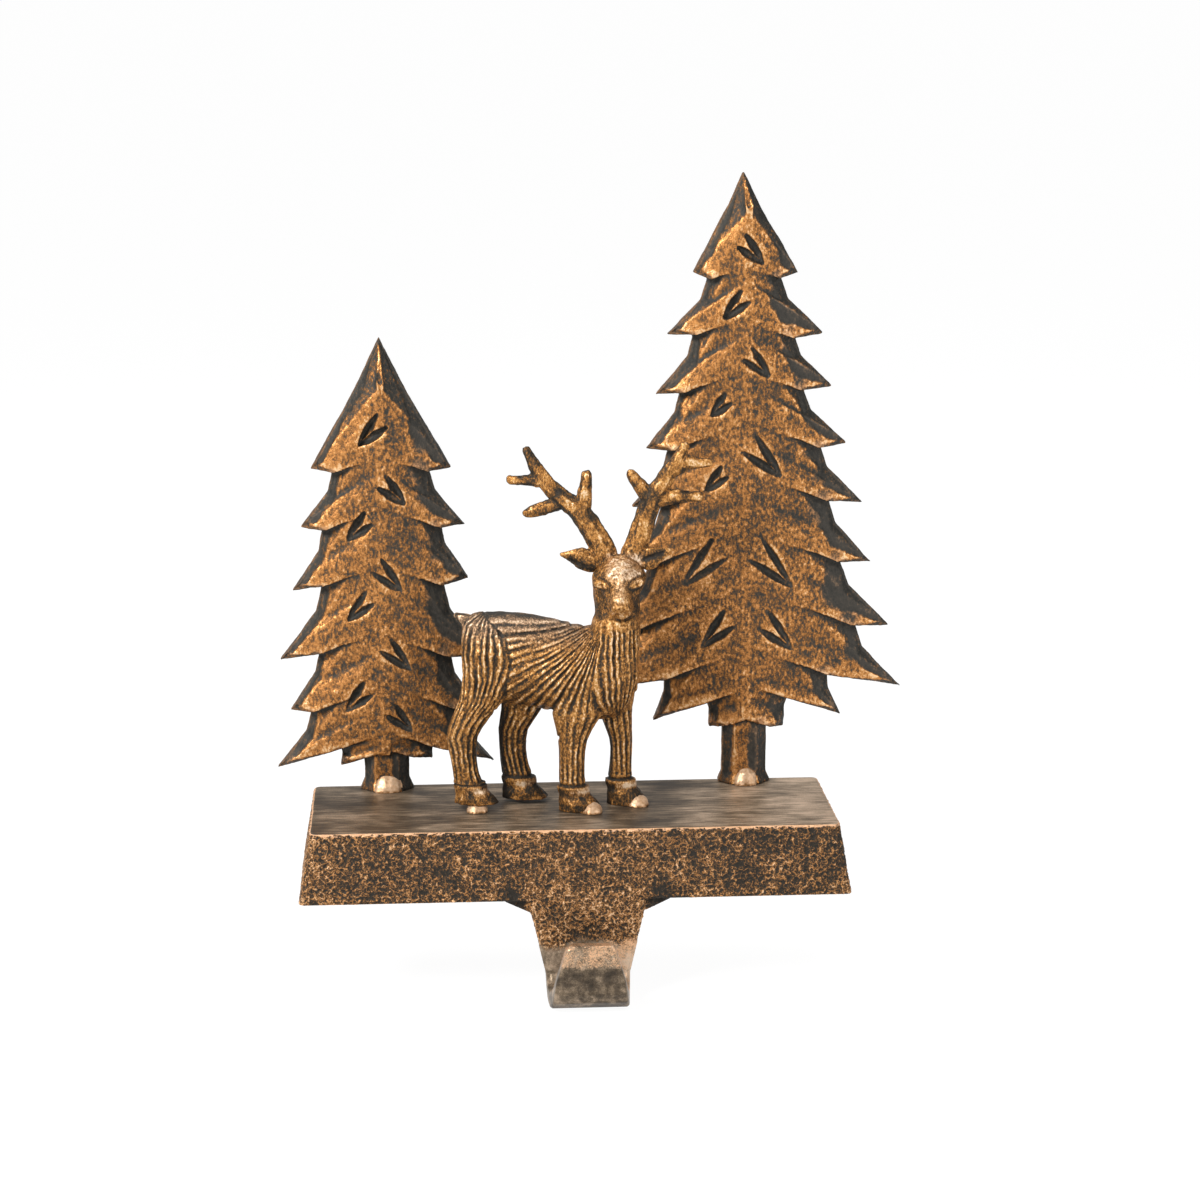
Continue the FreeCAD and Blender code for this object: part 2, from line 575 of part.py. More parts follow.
def limbs(shrink):
    """The barrel, neck and legs, drawn in by the shrink, which leaves room for the fur's ridges."""
    return [barrel(shrink), upright_limb(NECK, 0.0, shrink, BODY_CORNERS),
            upright_limb(HIND_LEG, -HIND_SPREAD, shrink), upright_limb(FAR_HIND_LEG, HIND_SPREAD, shrink),
            upright_limb(FORE_LEG, -FORE_SPREAD, shrink), upright_limb(FAR_FORE_LEG, FORE_SPREAD, shrink)]


def fur_slab(start, end):
    """A thin upright slab through the whole body between two places (along, height)."""
    run = V(end[0] - start[0], 0, end[1] - start[1])
    slab = Part.makeBox(run.Length, SLAB_DEPTH, FUR_WIDTH, V(0, -SLAB_DEPTH / 2, -FUR_WIDTH / 2))
    slab.rotate(V(), V(0, 1, 0), -math.degrees(math.atan2(run.z, run.x)))
    slab.translate(V(start[0], 0, start[1]))
    return slab


def fur_slabs():
    slabs = []
    angle = FAN_START
    while angle <= FAN_END:
        turn = math.radians(angle)
        near = (FAN_CENTRE[0] + FAN_CLEAR * math.cos(turn), FAN_CENTRE[1] + FAN_CLEAR * math.sin(turn))
        length = min(FAN_LENGTH, (HAUNCH_EDGE - FAN_CENTRE[0]) / math.cos(turn))
        far = (FAN_CENTRE[0] + length * math.cos(turn), FAN_CENTRE[1] + length * math.sin(turn))
        slabs.append(fur_slab(near, far))
        angle += FAN_STEP
    column = FAN_CENTRE[0] + COLUMN_GAP
    while column < NECK[1][2]:
        slabs.append(fur_slab((column, COLUMN_TOP), (column + COLUMN_LEAN, COLUMN_FOOT)))
        column += FUR_PITCH
    column = BARREL[0][0] + FUR_PITCH
    while column < HAUNCH_EDGE - FUR_PITCH / 2:
        slabs.append(fur_slab((column, BARREL[1][1] - HAUNCH_LEAN), (column - HAUNCH_LEAN, HIND_LEG[3][0])))
        column += FUR_PITCH
    return slabs


def coat():
    """The body with its carved fur: each groove stops at the skin that lies under the ridges."""
    skin = fused(limbs(FUR_DEPTH))
    grooves = Part.makeCompound(fur_slabs()).cut(skin)
    return fused(limbs(0.0)).cut(grooves)


def knob(centre, radius):
    """A round lump whose axis points away from the viewer."""
    rings = []
    for turn in range(KNOB_STEP, 180, KNOB_STEP):
        angle = math.radians(turn)
        reach = radius * math.sin(angle)
        rings.append(ring(centre + V(0, -radius * math.cos(angle), 0), V(1, 0, 0), V(0, 0, 1), reach, reach,
                          TUBE_CORNERS))
    return skinned(rings)


def head():
    crown = V(*HEAD_CROWN)
    axis = V(*HEAD_NOSE) - crown
    along = V(axis).normalize()
    across = V(1, 0, 0)
    up = across.cross(along)
    rings = [ring(crown + axis * share, across, up, half_width, half_depth, BODY_CORNERS)
             for share, half_width, half_depth in refined(HEAD)]
    pieces = [skinned(rings)]
    for side in (-1, 1):
        centre = V(HEAD_CROWN[0] + side * EYE_PLACE[0], EYE_PLACE[1], EYE_PLACE[2])
        pieces.append(knob(centre, EYE_RADIUS))
    return pieces


def tube(points, half_heights, half_depths):
    """A tapered limb through its points, with oval sections square to its run and a blunt tip."""
    depth = V(0, 1, 0)
    last = len(points) - 1
    rings = []
    for index, point in enumerate(points):
        run = (points[min(index + 1, last)] - points[max(index - 1, 0)]).normalize()
        across = run.cross(depth).normalize()
        rings.append(ring(point, across, depth, half_heights[index], half_depths[index], TUBE_CORNERS))
    run = (points[-1] - points[-2]).normalize()
    tip = points[-1] + run * (half_heights[-1] * TIP_LENGTH)
    rings.append(ring(tip, run.cross(depth).normalize(), depth, half_heights[-1] * TIP_WIDTH,
                      half_depths[-1] * TIP_WIDTH, TUBE_CORNERS))
    return skinned(rings)


def antlers():
    pieces = []
    for places, radii in ANTLERS:
        points = [V(x, ANTLER_DEPTH, z) for x, z in places]
        pieces.append(tube(points, radii, [radius * ANTLER_FLATNESS for radius in radii]))
    return pieces


def ears():
    return [tube([V(*place) for place in places], EAR_HALF_HEIGHTS, EAR_HALF_DEPTHS)
            for places in (EAR_LEFT, EAR_RIGHT)]


def hooves():
    pieces = []
    for leg, y, sole in ((HIND_LEG, -HIND_SPREAD, HIND_LIFT), (FAR_HIND_LEG, HIND_SPREAD, FAR_HIND_LIFT),
                         (FORE_LEG, -FORE_SPREAD, 0.0), (FAR_FORE_LEG, FORE_SPREAD, 0.0)):
        pieces.append(hoof(leg[-1][1], leg[-1][2], y, sole))
    return pieces


def deer():
    """The whole figure in one solid, set in its place on the base."""
    tail = tube([V(*place) for place in TAIL], TAIL_RADII, TAIL_RADII)
    figure = coat().multiFuse(hooves() + head() + ears() + antlers() + [tail])
    return seat_deer(figure.Solids[0])


def seat_deer(shape):
    placed = shape.copy()
    placed.rotate(V(), V(0, 0, 1), DEER_TURN)
    placed.translate(V(DEER_X, DEER_Y, BASE_HEIGHT))
    return placed


def bead(foot, size, carrier):
    """A domed weld bead that stands on the base, cut to meet the piece that it holds."""
    half_length, half_depth, height = size
    rings = [ring(foot + V(half_length * lean, half_depth * BEAD_LEAN * share, height * share), V(1, 0, 0),
                  V(0, 1, 0), half_length * width, half_depth * width, LIMB_CORNERS)
             for share, width, lean in BEAD_ROWS]
    pieces = skinned(rings).cut(carrier).Solids
    return max(pieces, key=lambda solid: solid.Volume)


def tree_bead(axis_x, size, carrier):
    foot = V(axis_x, TREE_BACK - TRUNK_DEPTH - FOOT_FLARE * FLARE_FRONT + BEAD_EMBED, BASE_HEIGHT)
    return bead(foot, size, carrier)


def hoof_bead(leg, y, reach, carrier):
    spot = Part.Vertex(V(leg[-1][2] + reach, y - HOOF_HALF_WIDTH + BEAD_EMBED, 0))
    return bead(seat_deer(spot).Point, HOOF_BEAD, carrier)


def main():
    os.makedirs("parts", exist_ok=True)
    tall = tree(TALL_TREE_X, TALL_APEX, TALL_LEFT, TALL_RIGHT, TALL_TICKS)
    small = tree(SMALL_TREE_X, SMALL_APEX, SMALL_LEFT, SMALL_RIGHT, SMALL_TICKS)
    stag = deer()
    parts = {
        "base_casting": base_casting(),
        "tall_tree": tall,
        "small_tree": small,
        "deer": stag,
        "weld_tall_tree": tree_bead(TALL_TREE_X, TALL_TREE_BEAD, tall),
        "weld_small_tree": tree_bead(SMALL_TREE_X, SMALL_TREE_BEAD, small),
        "weld_near_hind_hoof": hoof_bead(HIND_LEG, -HIND_SPREAD, HIND_BEAD_REACH, stag),
        "weld_near_fore_hoof": hoof_bead(FORE_LEG, -FORE_SPREAD, FORE_BEAD_REACH, stag),
        "weld_far_fore_hoof": hoof_bead(FAR_FORE_LEG, FORE_SPREAD, FORE_BEAD_REACH, stag),
    }
    for name, shape in parts.items():
        shape.exportStep(f"parts/{name}.step")
        box = shape.BoundBox
        print(f"{name}: {len(shape.Solids)} solid, valid {shape.isValid()}, volume {shape.Volume:.0f}, "
              f"x {box.XMin:.1f}..{box.XMax:.1f}, y {box.YMin:.1f}..{box.YMax:.1f}, "
              f"z {box.ZMin:.1f}..{box.ZMax:.1f}")


main()
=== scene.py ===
import bpy
import math
import numpy as np
from mathutils import Matrix, Vector
from mathutils.kdtree import KDTree

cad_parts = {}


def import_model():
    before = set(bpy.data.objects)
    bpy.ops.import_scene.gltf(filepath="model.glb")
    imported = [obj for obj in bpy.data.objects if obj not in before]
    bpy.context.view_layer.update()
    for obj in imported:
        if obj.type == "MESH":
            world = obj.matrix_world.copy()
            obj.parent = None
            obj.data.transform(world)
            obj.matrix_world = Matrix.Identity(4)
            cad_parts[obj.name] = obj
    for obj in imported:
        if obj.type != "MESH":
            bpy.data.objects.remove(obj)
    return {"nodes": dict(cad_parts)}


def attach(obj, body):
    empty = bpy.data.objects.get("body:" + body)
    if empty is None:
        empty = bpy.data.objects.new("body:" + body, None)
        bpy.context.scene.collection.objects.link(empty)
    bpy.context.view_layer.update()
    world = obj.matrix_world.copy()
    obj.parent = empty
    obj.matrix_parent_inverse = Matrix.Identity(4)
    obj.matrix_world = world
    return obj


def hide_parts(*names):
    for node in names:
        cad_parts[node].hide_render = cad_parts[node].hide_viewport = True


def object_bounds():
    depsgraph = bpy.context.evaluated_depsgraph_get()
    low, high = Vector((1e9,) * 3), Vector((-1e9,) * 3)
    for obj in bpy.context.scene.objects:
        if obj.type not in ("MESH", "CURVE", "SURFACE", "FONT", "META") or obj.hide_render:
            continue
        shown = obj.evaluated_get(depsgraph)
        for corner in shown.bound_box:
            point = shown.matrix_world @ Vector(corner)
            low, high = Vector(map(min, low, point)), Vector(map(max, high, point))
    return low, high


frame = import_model()
cad_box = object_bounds()

# A cast stocking holder: a stag between two fir trees on a base with a hook, all in rubbed copper.
# Lengths and places are in millimetres unless a name ends in _M, and colours are linear.
MM = 0.001
BODY = "root"

# The camera, in millimetres and degrees: where the photograph was taken from.
CAMERA_PLACE = (-47.1, -907.25, 281.8)
CAMERA_YAW = 3.55
CAMERA_PITCH = 12.08
CAMERA_ROLL = -0.16
CAMERA_LENS = 90.0
SENSOR = 36.0
NEAR_CLIP_M = 0.01

# The floor: its width in metres, how many millimetres it lies under the hook's lowest point, its
# colour, how much of it glows white where it is seen, and how brightly.
FLOOR_SIZE_M = 80.0
FLOOR_GAP = 0.2
FLOOR_COLOUR = (0.9, 0.9, 0.9)
FLOOR_WHITE = 0.88
FLOOR_GLOW = 1.08

# Lamps: name, place and aim in millimetres, width in millimetres, watts.
LAMPS = [
    ("key", (-640, -560, 720), (0, 0, 90), 420, 12.0),
    ("fill", (640, -520, 380), (0, 0, 90), 700, 2.4),
    ("top", (120, 160, 900), (0, 0, 60), 600, 2.4),
    ("back", (-420, 520, 760), (0, 0, 90), 600, 2.4),
]
WORLD_LIGHT = 0.34

# Millimetres between the corners of each new surface, and the most triangles that a piece keeps.
CELL = {"deer": 0.32, "small_tree": 0.4, "tall_tree": 0.44, "base_casting": 0.42}
BEAD_CELL = 0.16
MOST_TRIANGLES = 190000

# Noise: large numbers that scramble whole-numbered places, the shift from one seed to the next, and
# each layer's strength as a share of the one before.
SCRAMBLE = (374761393, 668265263, 2147483647)
SEED_SCRAMBLE = 974634777
SECOND_SCRAMBLE = 1274126177
SEED_SHIFT = 17.31
LAYER_SHARE = 0.55

# Colours, from the darkest patina to what is rubbed bright, each at its place from 0 to 1.
TREE_COLOURS = [(0.0, (0.022, 0.021, 0.018)), (0.3, (0.043, 0.038, 0.03)), (0.5, (0.16, 0.075, 0.026)),
                (0.7, (0.44, 0.185, 0.052)), (0.88, (0.6, 0.28, 0.09)), (1.0, (0.82, 0.52, 0.27))]
DEER_COLOURS = [(0.0, (0.017, 0.013, 0.01)), (0.28, (0.042, 0.028, 0.014)), (0.46, (0.17, 0.076, 0.021)),
                (0.64, (0.43, 0.19, 0.048)), (0.82, (0.66, 0.36, 0.125)), (1.0, (0.9, 0.66, 0.42))]
WALL_COLOURS = [(0.0, (0.026, 0.022, 0.017)), (0.3, (0.046, 0.034, 0.022)), (0.52, (0.19, 0.088, 0.031)),
                (0.72, (0.44, 0.205, 0.07)), (0.88, (0.58, 0.31, 0.13)), (1.0, (0.82, 0.56, 0.34))]
PALE_COLOURS = [(0.0, (0.03, 0.028, 0.024)), (0.33, (0.055, 0.047, 0.038)), (0.52, (0.2, 0.145, 0.1)),
                (0.74, (0.48, 0.35, 0.25)), (1.0, (0.84, 0.68, 0.54))]
# The smooth top's and hook's colours, along their brushed grain and their painted sheen.
TOP_COLOURS = [(0.0, (0.045, 0.034, 0.024)), (0.3, (0.098, 0.072, 0.048)), (0.5, (0.195, 0.145, 0.096)),
               (0.72, (0.35, 0.26, 0.18)), (1.0, (0.62, 0.46, 0.33))]
BEAD_COLOURS = [(0.0, (0.05, 0.03, 0.016)), (0.3, (0.28, 0.14, 0.055)), (0.5, (0.56, 0.34, 0.19)),
                (1.0, (0.84, 0.6, 0.4))]
# The bright rim's copper, which also paints highlights on the hook's crest and throat.
RIM_COLOUR = (0.78, 0.46, 0.26)
# How strongly the patina shines, and how far from its middle the noise is at the edge of a net's lines.
SPECULAR_LEVEL = 0.25
NET_LINE = 0.075

# The deer's own frame: X along the body, Y away from the viewer, Z above the base's top.
BASE_TOP = 21.6
DEER_PLACE = (-6.3, -0.15)
DEER_TURN = -7.0

# The fur: the fan of strands on the flank, with its centre (along, height), the angles in degrees
# between which it lies and the angle from strand to strand, the strands round the neck, the haunch
# and each leg, and their depth in millimetres.
FAN_CENTRE = (16.5, 59.3)
FAN_SPAN = (153.0, 261.0)
FAN_PITCH = 4.9
NECK_STRANDS = 28
HAUNCH_STRANDS = 25
LEG_STRANDS = 13
FUR_DEPTH = 0.64
# Where the haunch's fur meets the fan's: heights, then places along the body.
HAUNCH_LINE = ([33.0, 37.2, 48.2, 55.5, 58.3, 63.0], [-16.0, -13.8, -11.6, -13.4, -16.4, -22.0])
# Middle lines of the neck and legs: heights, places along the body and across it.
NECK_LINE = ([0, 30, 50, 62, 78], [22, 21, 20, 20.5, 21.5], [0, 0, 0, 0, 0])
LEG_LINES = {
    "near_hind": ([0, 7.6, 16.5, 23.5, 29.5, 35, 42, 50, 62],
                  [-25, -25.2, -27, -27.4, -24.6, -21.2, -19.5, -19, -19],
                  [-5.2, -5.2, -5.2, -5.2, -5.2, -4.6, -2.5, 0, 0]),
    "far_hind": ([0, 7.6, 16.5, 23.5, 30, 36, 44, 62],
                 [-10.5, -10.8, -12.4, -12.2, -9.6, -8.8, -9.5, -10],
                 [5.2, 5.2, 5.2, 5.2, 5.2, 4.6, 2.5, 0]),
    "near_fore": ([0, 7.6, 15.9, 22.5, 28.5, 34, 44, 60],
                  [7, 7.1, 6.9, 7.1, 8.0, 9.1, 10.5, 13],
                  [-4.4, -4.4, -4.4, -4.4, -4.4, -3.6, -1.5, 0]),
    "far_fore": ([0, 7.6, 15.5, 21, 28.5, 34, 44, 60],
                 [21.5, 21.4, 21.6, 21.6, 20.3, 20.1, 20.5, 21],
                 [4.4, 4.4, 4.4, 4.4, 4.4, 3.6, 1.5, 0]),
}

# Heights on the deer: the hooves' cuffs and the crease above a cuff, where the legs' fur gives way
# to the body's, where the neck's fur ends, and where the head and the antlers begin.
CUFF_HEIGHT = 7.6
CREASE_RISE = 0.9
LEG_TOPS = (29.0, 34.0)
COLLAR = (56.6, 58.6)
HEAD_FOOT = 59.5
ANTLER_FOOT = 82.0

# The middle of the face, along the body.
FACE_MIDDLE = 22.3
# Strokes of the face, as seen from the front: ends (along, height), half width, and height or depth.
FACE_STROKES = [
    ((18.6, 70.6), (18.9, 65.4), 0.8, -0.5), ((26.2, 70.6), (26.4, 65.4), 0.8, -0.5),
    ((22.3, 77.0), (22.4, 68.6), 2.2, 0.35), ((20.6, 65.0), (24.6, 65.0), 1.8, 0.3),
    ((19.6, 61.9), (22.4, 61.2), 0.5, -0.6), ((22.4, 61.2), (25.6, 61.9), 0.5, -0.6),
    ((20.2, 67.6), (24.8, 67.6), 0.5, -0.25), ((15.6, 68.4), (17.6, 63.6), 0.9, -0.4),
    ((29.2, 68.6), (27.2, 63.8), 0.9, -0.4),
]
# Nostrils and chin: middle (along, height), half width, and height or depth.
FACE_DENTS = [((21.4, 64.0), 0.6, -0.65), ((24.3, 64.3), 0.6, -0.65), ((22.9, 62.8), 1.0, 0.3)]
# Eyes: middle (along, height), half length, half height, and the slant of the long way in degrees.
EYES = [((16.2, 72.3), 2.3, 1.6, -6.0), ((27.5, 72.9), 2.4, 1.5, 20.0)]
# Ears: the hollow's inner and outer ends (along, height), its half width, the share of that in which
# it falls off, and its depth.
EAR_HOLLOWS = [((12.6, 76.0), (6.8, 78.0), 2.5), ((29.6, 79.4), (34.8, 81.3), 1.6)]
EAR_EDGE = 0.8
EAR_DEPTH = 1.1
# The head's fuller and leaner places: (along, height), half width, and how far out in millimetres.
HEAD_SWELLS = [((12.6, 74.6), 3.4, 1.7), ((15.0, 63.6), 3.6, -0.7), ((30.6, 75.0), 2.6, 0.9)]

# The trees: how far in front of the back the outline's corners lie, how high the top cone is, how
# wide the dark patina and its painted shade lie on a bough's upper slope, left and right of the trunk,
# how deep they are sunk, how rubbed the back is, and the least rub in front.
RIM_DEPTH = 2.2
CONE_HEIGHT = 26.0
SLOPE_WIDTH = (2.8, 6.6)
SLOPE_DEPTH = 0.45
BACK_RUB = 0.42
LEAST_RUB = 0.14

# The base's wrinkled walls: the size of each net of ridges and how wide its ridges are, as a share of
# the noise's strength, then the half width, half depth and height of what lies inside the shell.
WRINKLES = [(1.5, 0.36), (1.15, 0.28)]
SHELL_INSIDE = (80.5, 25.6, 17.0)

# The hook: its middle and half width along X, the heights under the base between which it begins,
# the plane behind its prong, and the prong's half width at two heights.
HOOK_MIDDLE = 3.4
SHANK_HALF_WIDTH = 20.3
HOOK_START = (0.0, -4.0)
PRONG_BACK = -38.0
PRONG_HALF_WIDTHS = ((-34.0, 13.2), (-8.0, 6.8))
# The hook's painted light and shade: the heights where its throat and its crest begin, the shares of
# the half width where its bevels do, and where along X the throat gets brighter.
THROAT_START = (-10.0, -14.0)
CREST_START = (-18.6, -15.4)
BEVEL_START = (0.76, 0.9)
THROAT_BRIGHT = (3.0, 12.0)

# The weld beads: the rounds of smoothing, and the step out that follows each step in.
BEAD_ROUNDS = 160
BEAD_SWELL = -0.47


# Noise and curves

def lattice_noise(points, size, seed=0):
    """Smooth noise from -1 to 1 with features of that size, the same on each run."""
    scaled = points / size + SEED_SHIFT * (seed + 1)
    cell = np.floor(scaled).astype(np.int64)
    part = scaled - cell
    ease = part * part * (3 - 2 * part)
    total = np.zeros(len(points))
    for corner in np.ndindex(2, 2, 2):
        offset = np.array(corner)
        value = lattice_value(cell + offset, seed)
        weight = np.prod(np.where(offset == 1, ease, 1 - ease), axis=1)
        total += weight * value
    return total * 2 - 1


def lattice_value(cell, seed):
    """A number from 0 to 1 for each whole-numbered place."""
    mixed = cell[:, 0] * SCRAMBLE[0] + cell[:, 1] * SCRAMBLE[1] + cell[:, 2] * SCRAMBLE[2]
    mixed = mixed + seed * SEED_SCRAMBLE
    mixed = (mixed ^ (mixed >> 13)) * SECOND_SCRAMBLE
    mixed = mixed ^ (mixed >> 16)
    return (mixed & 0xFFFFFF) / float(0x1000000)


def layered_noise(points, size, layers=3, seed=0):
    """Noise from -1 to 1 in layers, each half as large as the one before and weaker."""
    total = np.zeros(len(points))
    strength = 1.0
    reach = 0.0
    for layer in range(layers):
        total += strength * lattice_noise(points, size / 2 ** layer, seed + layer)
        reach += strength
        strength *= LAYER_SHARE
    return total / reach


def smoothstep(low, high, value):
    """0 at low and 1 at high, with a smooth rise between them."""
    share = np.clip((value - low) / (high - low), 0, 1)
    return share * share * (3 - 2 * share)


def fade(low, high, value):
    """1 at low and 0 at high, with a smooth fall between them."""
    return 1 - smoothstep(low, high, value)


def bell(away, half_width):
    """1 where away is 0, falling off smoothly on both sides."""
    return np.exp(-(away / half_width) ** 2)


# Meshes

def read_mesh(mesh):
    """The corners in millimetres and the edges of a mesh."""
    corners = np.zeros(len(mesh.vertices) * 3)
    mesh.vertices.foreach_get("co", corners)
    edges = np.zeros(len(mesh.edges) * 2, np.int64)
    mesh.edges.foreach_get("vertices", edges)
    return corners.reshape(-1, 3) / MM, edges.reshape(-1, 2)


def write_corners(mesh, corners):
    """The corners put back, none of them outside the object's own box."""
    low, high = (np.array(corner) / MM for corner in cad_box)
    mesh.vertices.foreach_set("co", (np.clip(corners, low, high) * MM).ravel())
    mesh.update()


def corner_normals(mesh):
    """Which way the surface faces at each corner."""
    normals = np.zeros(len(mesh.vertices) * 3)
    mesh.vertex_normals.foreach_get("vector", normals)
    return normals.reshape(-1, 3)


def spread(values, edges, count):
    """The mean of each corner's neighbours."""
    ends = np.concatenate([edges[:, 0], edges[:, 1]])
    others = np.concatenate([edges[:, 1], edges[:, 0]])
    degree = np.maximum(np.bincount(ends, minlength=count), 1)
    columns = [np.bincount(ends, weights=values[others, axis], minlength=count) / degree
               for axis in range(values.shape[1])]
    return np.stack(columns, axis=1)


def relaxed(corners, edges, rounds, weight=None, shrink=0.5, swell=-0.53):
    """The corners smoothed by steps in and out, which keep the volume, each by its weight."""
    amount = np.ones(len(corners)) if weight is None else weight
    for _ in range(rounds):
        for step in (shrink, swell):
            corners = corners + (spread(corners, edges, len(corners)) - corners) * (step * amount)[:, None]
    return corners


def relief(mesh, corners, edges, near, far):
    """How far each corner stands proud of the surface around it, in millimetres: after near rounds
    of smoothing, against far rounds."""
    smooth = corners
    fine = corners
    for step in range(far):
        smooth = 0.5 * smooth + 0.5 * spread(smooth, edges, len(corners))
        if step < near:
            fine = smooth
    return np.einsum("ij,ij->i", fine - smooth, corner_normals(mesh))


def set_attribute(mesh, name, values):
    """One number for each corner, which the materials read by its name."""
    layer = mesh.attributes.new(name, "FLOAT", "POINT")
    layer.data.foreach_set("value", values.astype(np.float32))


def with_modifier(mesh, kind, **settings):
    """A new mesh from this one with one modifier worked in."""
    holder = bpy.data.objects.new("holder", mesh)
    bpy.context.scene.collection.objects.link(holder)
    modifier = holder.modifiers.new("work", kind)
    for name, value in settings.items():
        setattr(modifier, name, value)
    bpy.context.view_layer.update()
    made = bpy.data.meshes.new_from_object(holder.evaluated_get(bpy.context.evaluated_depsgraph_get()))
    bpy.data.objects.remove(holder)
    return made


def fine_surface(node):
    """The node's own surface in even small cells."""
    cell = CELL.get(node, BEAD_CELL)
    return with_modifier(frame["nodes"][node].data.copy(), "REMESH", mode="VOXEL", voxel_size=cell * MM)


def thinned(mesh):
    """The same surface with no more than its share of triangles, which stay where it bends."""
    triangles = sum(len(face.vertices) - 2 for face in mesh.polygons)
    if triangles <= MOST_TRIANGLES:
        return mesh
    return with_modifier(mesh, "DECIMATE", decimate_type="COLLAPSE", ratio=MOST_TRIANGLES / triangles,
                         use_collapse_triangulate=True)


def dressed(name, mesh, material, node):
    """The piece made of this mesh, in the place of its node."""
    piece = bpy.data.objects.new(name, mesh)
    bpy.context.scene.collection.objects.link(piece)
    mesh.materials.clear()
    mesh.materials.append(material)
    mesh.shade_smooth()
    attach(piece, BODY)
    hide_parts(node)
    return piece


# Materials

class Nodes:
    """Short calls that add and join the nodes of one material."""

    def __init__(self, name):
        self.material = bpy.data.materials.new(name)
        self.material.use_nodes = True
        self.tree = self.material.node_tree
        self.tree.nodes.clear()
        self.output = self.add("ShaderNodeOutputMaterial")
        self.shader = self.add("ShaderNodeBsdfPrincipled")
        self.join(self.shader.outputs["BSDF"], self.output.inputs["Surface"])

    def add(self, kind, **settings):
        """A new node with its settings."""
        node = self.tree.nodes.new(kind)
        for name, value in settings.items():
            setattr(node, name, value)
        return node

    def join(self, source, target):
        """A link from an output to an input."""
        self.tree.links.new(source, target)

    def put(self, target, value):
        """A link from the value if it is an output, or else the value itself."""
        if isinstance(value, bpy.types.NodeSocket):
            self.join(value, target)
        else:
            target.default_value = value

    def attribute(self, name):
        """The number that each corner of the mesh has by this name."""
        return self.add("ShaderNodeAttribute", attribute_name=name).outputs["Fac"]

    def place(self, scale=(1.0, 1.0, 1.0)):
        """The place on the object, with each axis scaled."""
        node = self.add("ShaderNodeMapping")
        node.inputs["Scale"].default_value = scale
        self.join(self.add("ShaderNodeTexCoord").outputs["Object"], node.inputs["Vector"])
        return node.outputs["Vector"]

    def noise(self, size_mm, place, detail=2.0, roughness=0.5):
        """Noise from 0 to 1 with features of that size."""
        node = self.add("ShaderNodeTexNoise")
        self.join(place, node.inputs["Vector"])
        node.inputs["Scale"].default_value = 1.0 / (size_mm * MM)
        node.inputs["Detail"].default_value = detail
        node.inputs["Roughness"].default_value = roughness
        return node.outputs["Fac"]

    def net(self, size_mm, place):
        """1 on thin winding lines and 0 between them."""
        away = self.math("ABSOLUTE", self.math("SUBTRACT", self.noise(size_mm, place, detail=1.0), 0.5))
        return self.ramp(away, 0.0, NET_LINE, 1.0, 0.0)

    def math(self, operation, first, second=0.0):
        """One operation on two values or outputs."""
        node = self.add("ShaderNodeMath", operation=operation)
        self.put(node.inputs[0], first)
        self.put(node.inputs[1], second)
        return node.outputs[0]

    def with_share(self, value, source, weight):
        """The value with the source added by its weight."""
        node = self.add("ShaderNodeMath", operation="MULTIPLY_ADD")
        self.put(node.inputs[0], source)
        node.inputs[1].default_value = weight
        self.put(node.inputs[2], value)
        return node.outputs[0]

    def total(self, value, *noises):
        """The value with each noise added by its weight, about its middle of a half."""
        for source, weight in noises:
            value = self.with_share(value, self.math("SUBTRACT", source, 0.5), weight)
        return value

    def sum_of(self, *parts):
        """The parts added up, each by its weight."""
        value = 0.0
        for source, weight in parts:
            value = self.with_share(value, source, weight)
        return value

    def ramp(self, value, low, high, to_low=0.0, to_high=1.0):
        """A smooth change from to_low, where the value is low, to to_high, where it is high."""
        node = self.add("ShaderNodeMapRange", interpolation_type="SMOOTHSTEP")
        self.put(node.inputs["Value"], value)
        node.inputs["From Min"].default_value = low
        node.inputs["From Max"].default_value = high
        node.inputs["To Min"].default_value = to_low
        node.inputs["To Max"].default_value = to_high
        return node.outputs["Result"]

    def colours(self, value, stops):
        """The colour that the stops give for the value. The first stop is at 0 and the last at 1."""
        node = self.add("ShaderNodeValToRGB")
        self.join(value, node.inputs["Fac"])
        elements = node.color_ramp.elements
        elements[0].color = (*stops[0][1], 1.0)
        elements[1].color = (*stops[-1][1], 1.0)
        for place, colour in stops[1:-1]:
            elements.new(place).color = (*colour, 1.0)
        return node.outputs["Color"]

    def mix(self, share, first, second):
        """The first colour where the share is 0 and the second where it is 1. A Mix node's colours
        are its inputs 6 and 7 and its output 2."""
        node = self.add("ShaderNodeMix", data_type="RGBA")
        self.put(node.inputs["Factor"], share)
        self.put(node.inputs[6], (*first, 1.0) if isinstance(first, tuple) else first)
        self.put(node.inputs[7], (*second, 1.0) if isinstance(second, tuple) else second)
        return node.outputs[2]

    def bump(self, height, distance_mm):
        """The height as fine relief, where 1 is that distance."""
        node = self.add("ShaderNodeBump")
        node.inputs["Distance"].default_value = distance_mm * MM
        self.join(height, node.inputs["Height"])
        self.join(node.outputs["Normal"], self.shader.inputs["Normal"])

    def finish(self, colour, roughness, metallic):
        """The shader's main values, and the finished material."""
        self.join(colour, self.shader.inputs["Base Color"])
        self.put(self.shader.inputs["Roughness"], roughness)
        self.put(self.shader.inputs["Metallic"], metallic)
        self.shader.inputs["Specular IOR Level"].default_value = SPECULAR_LEVEL
        return self.material


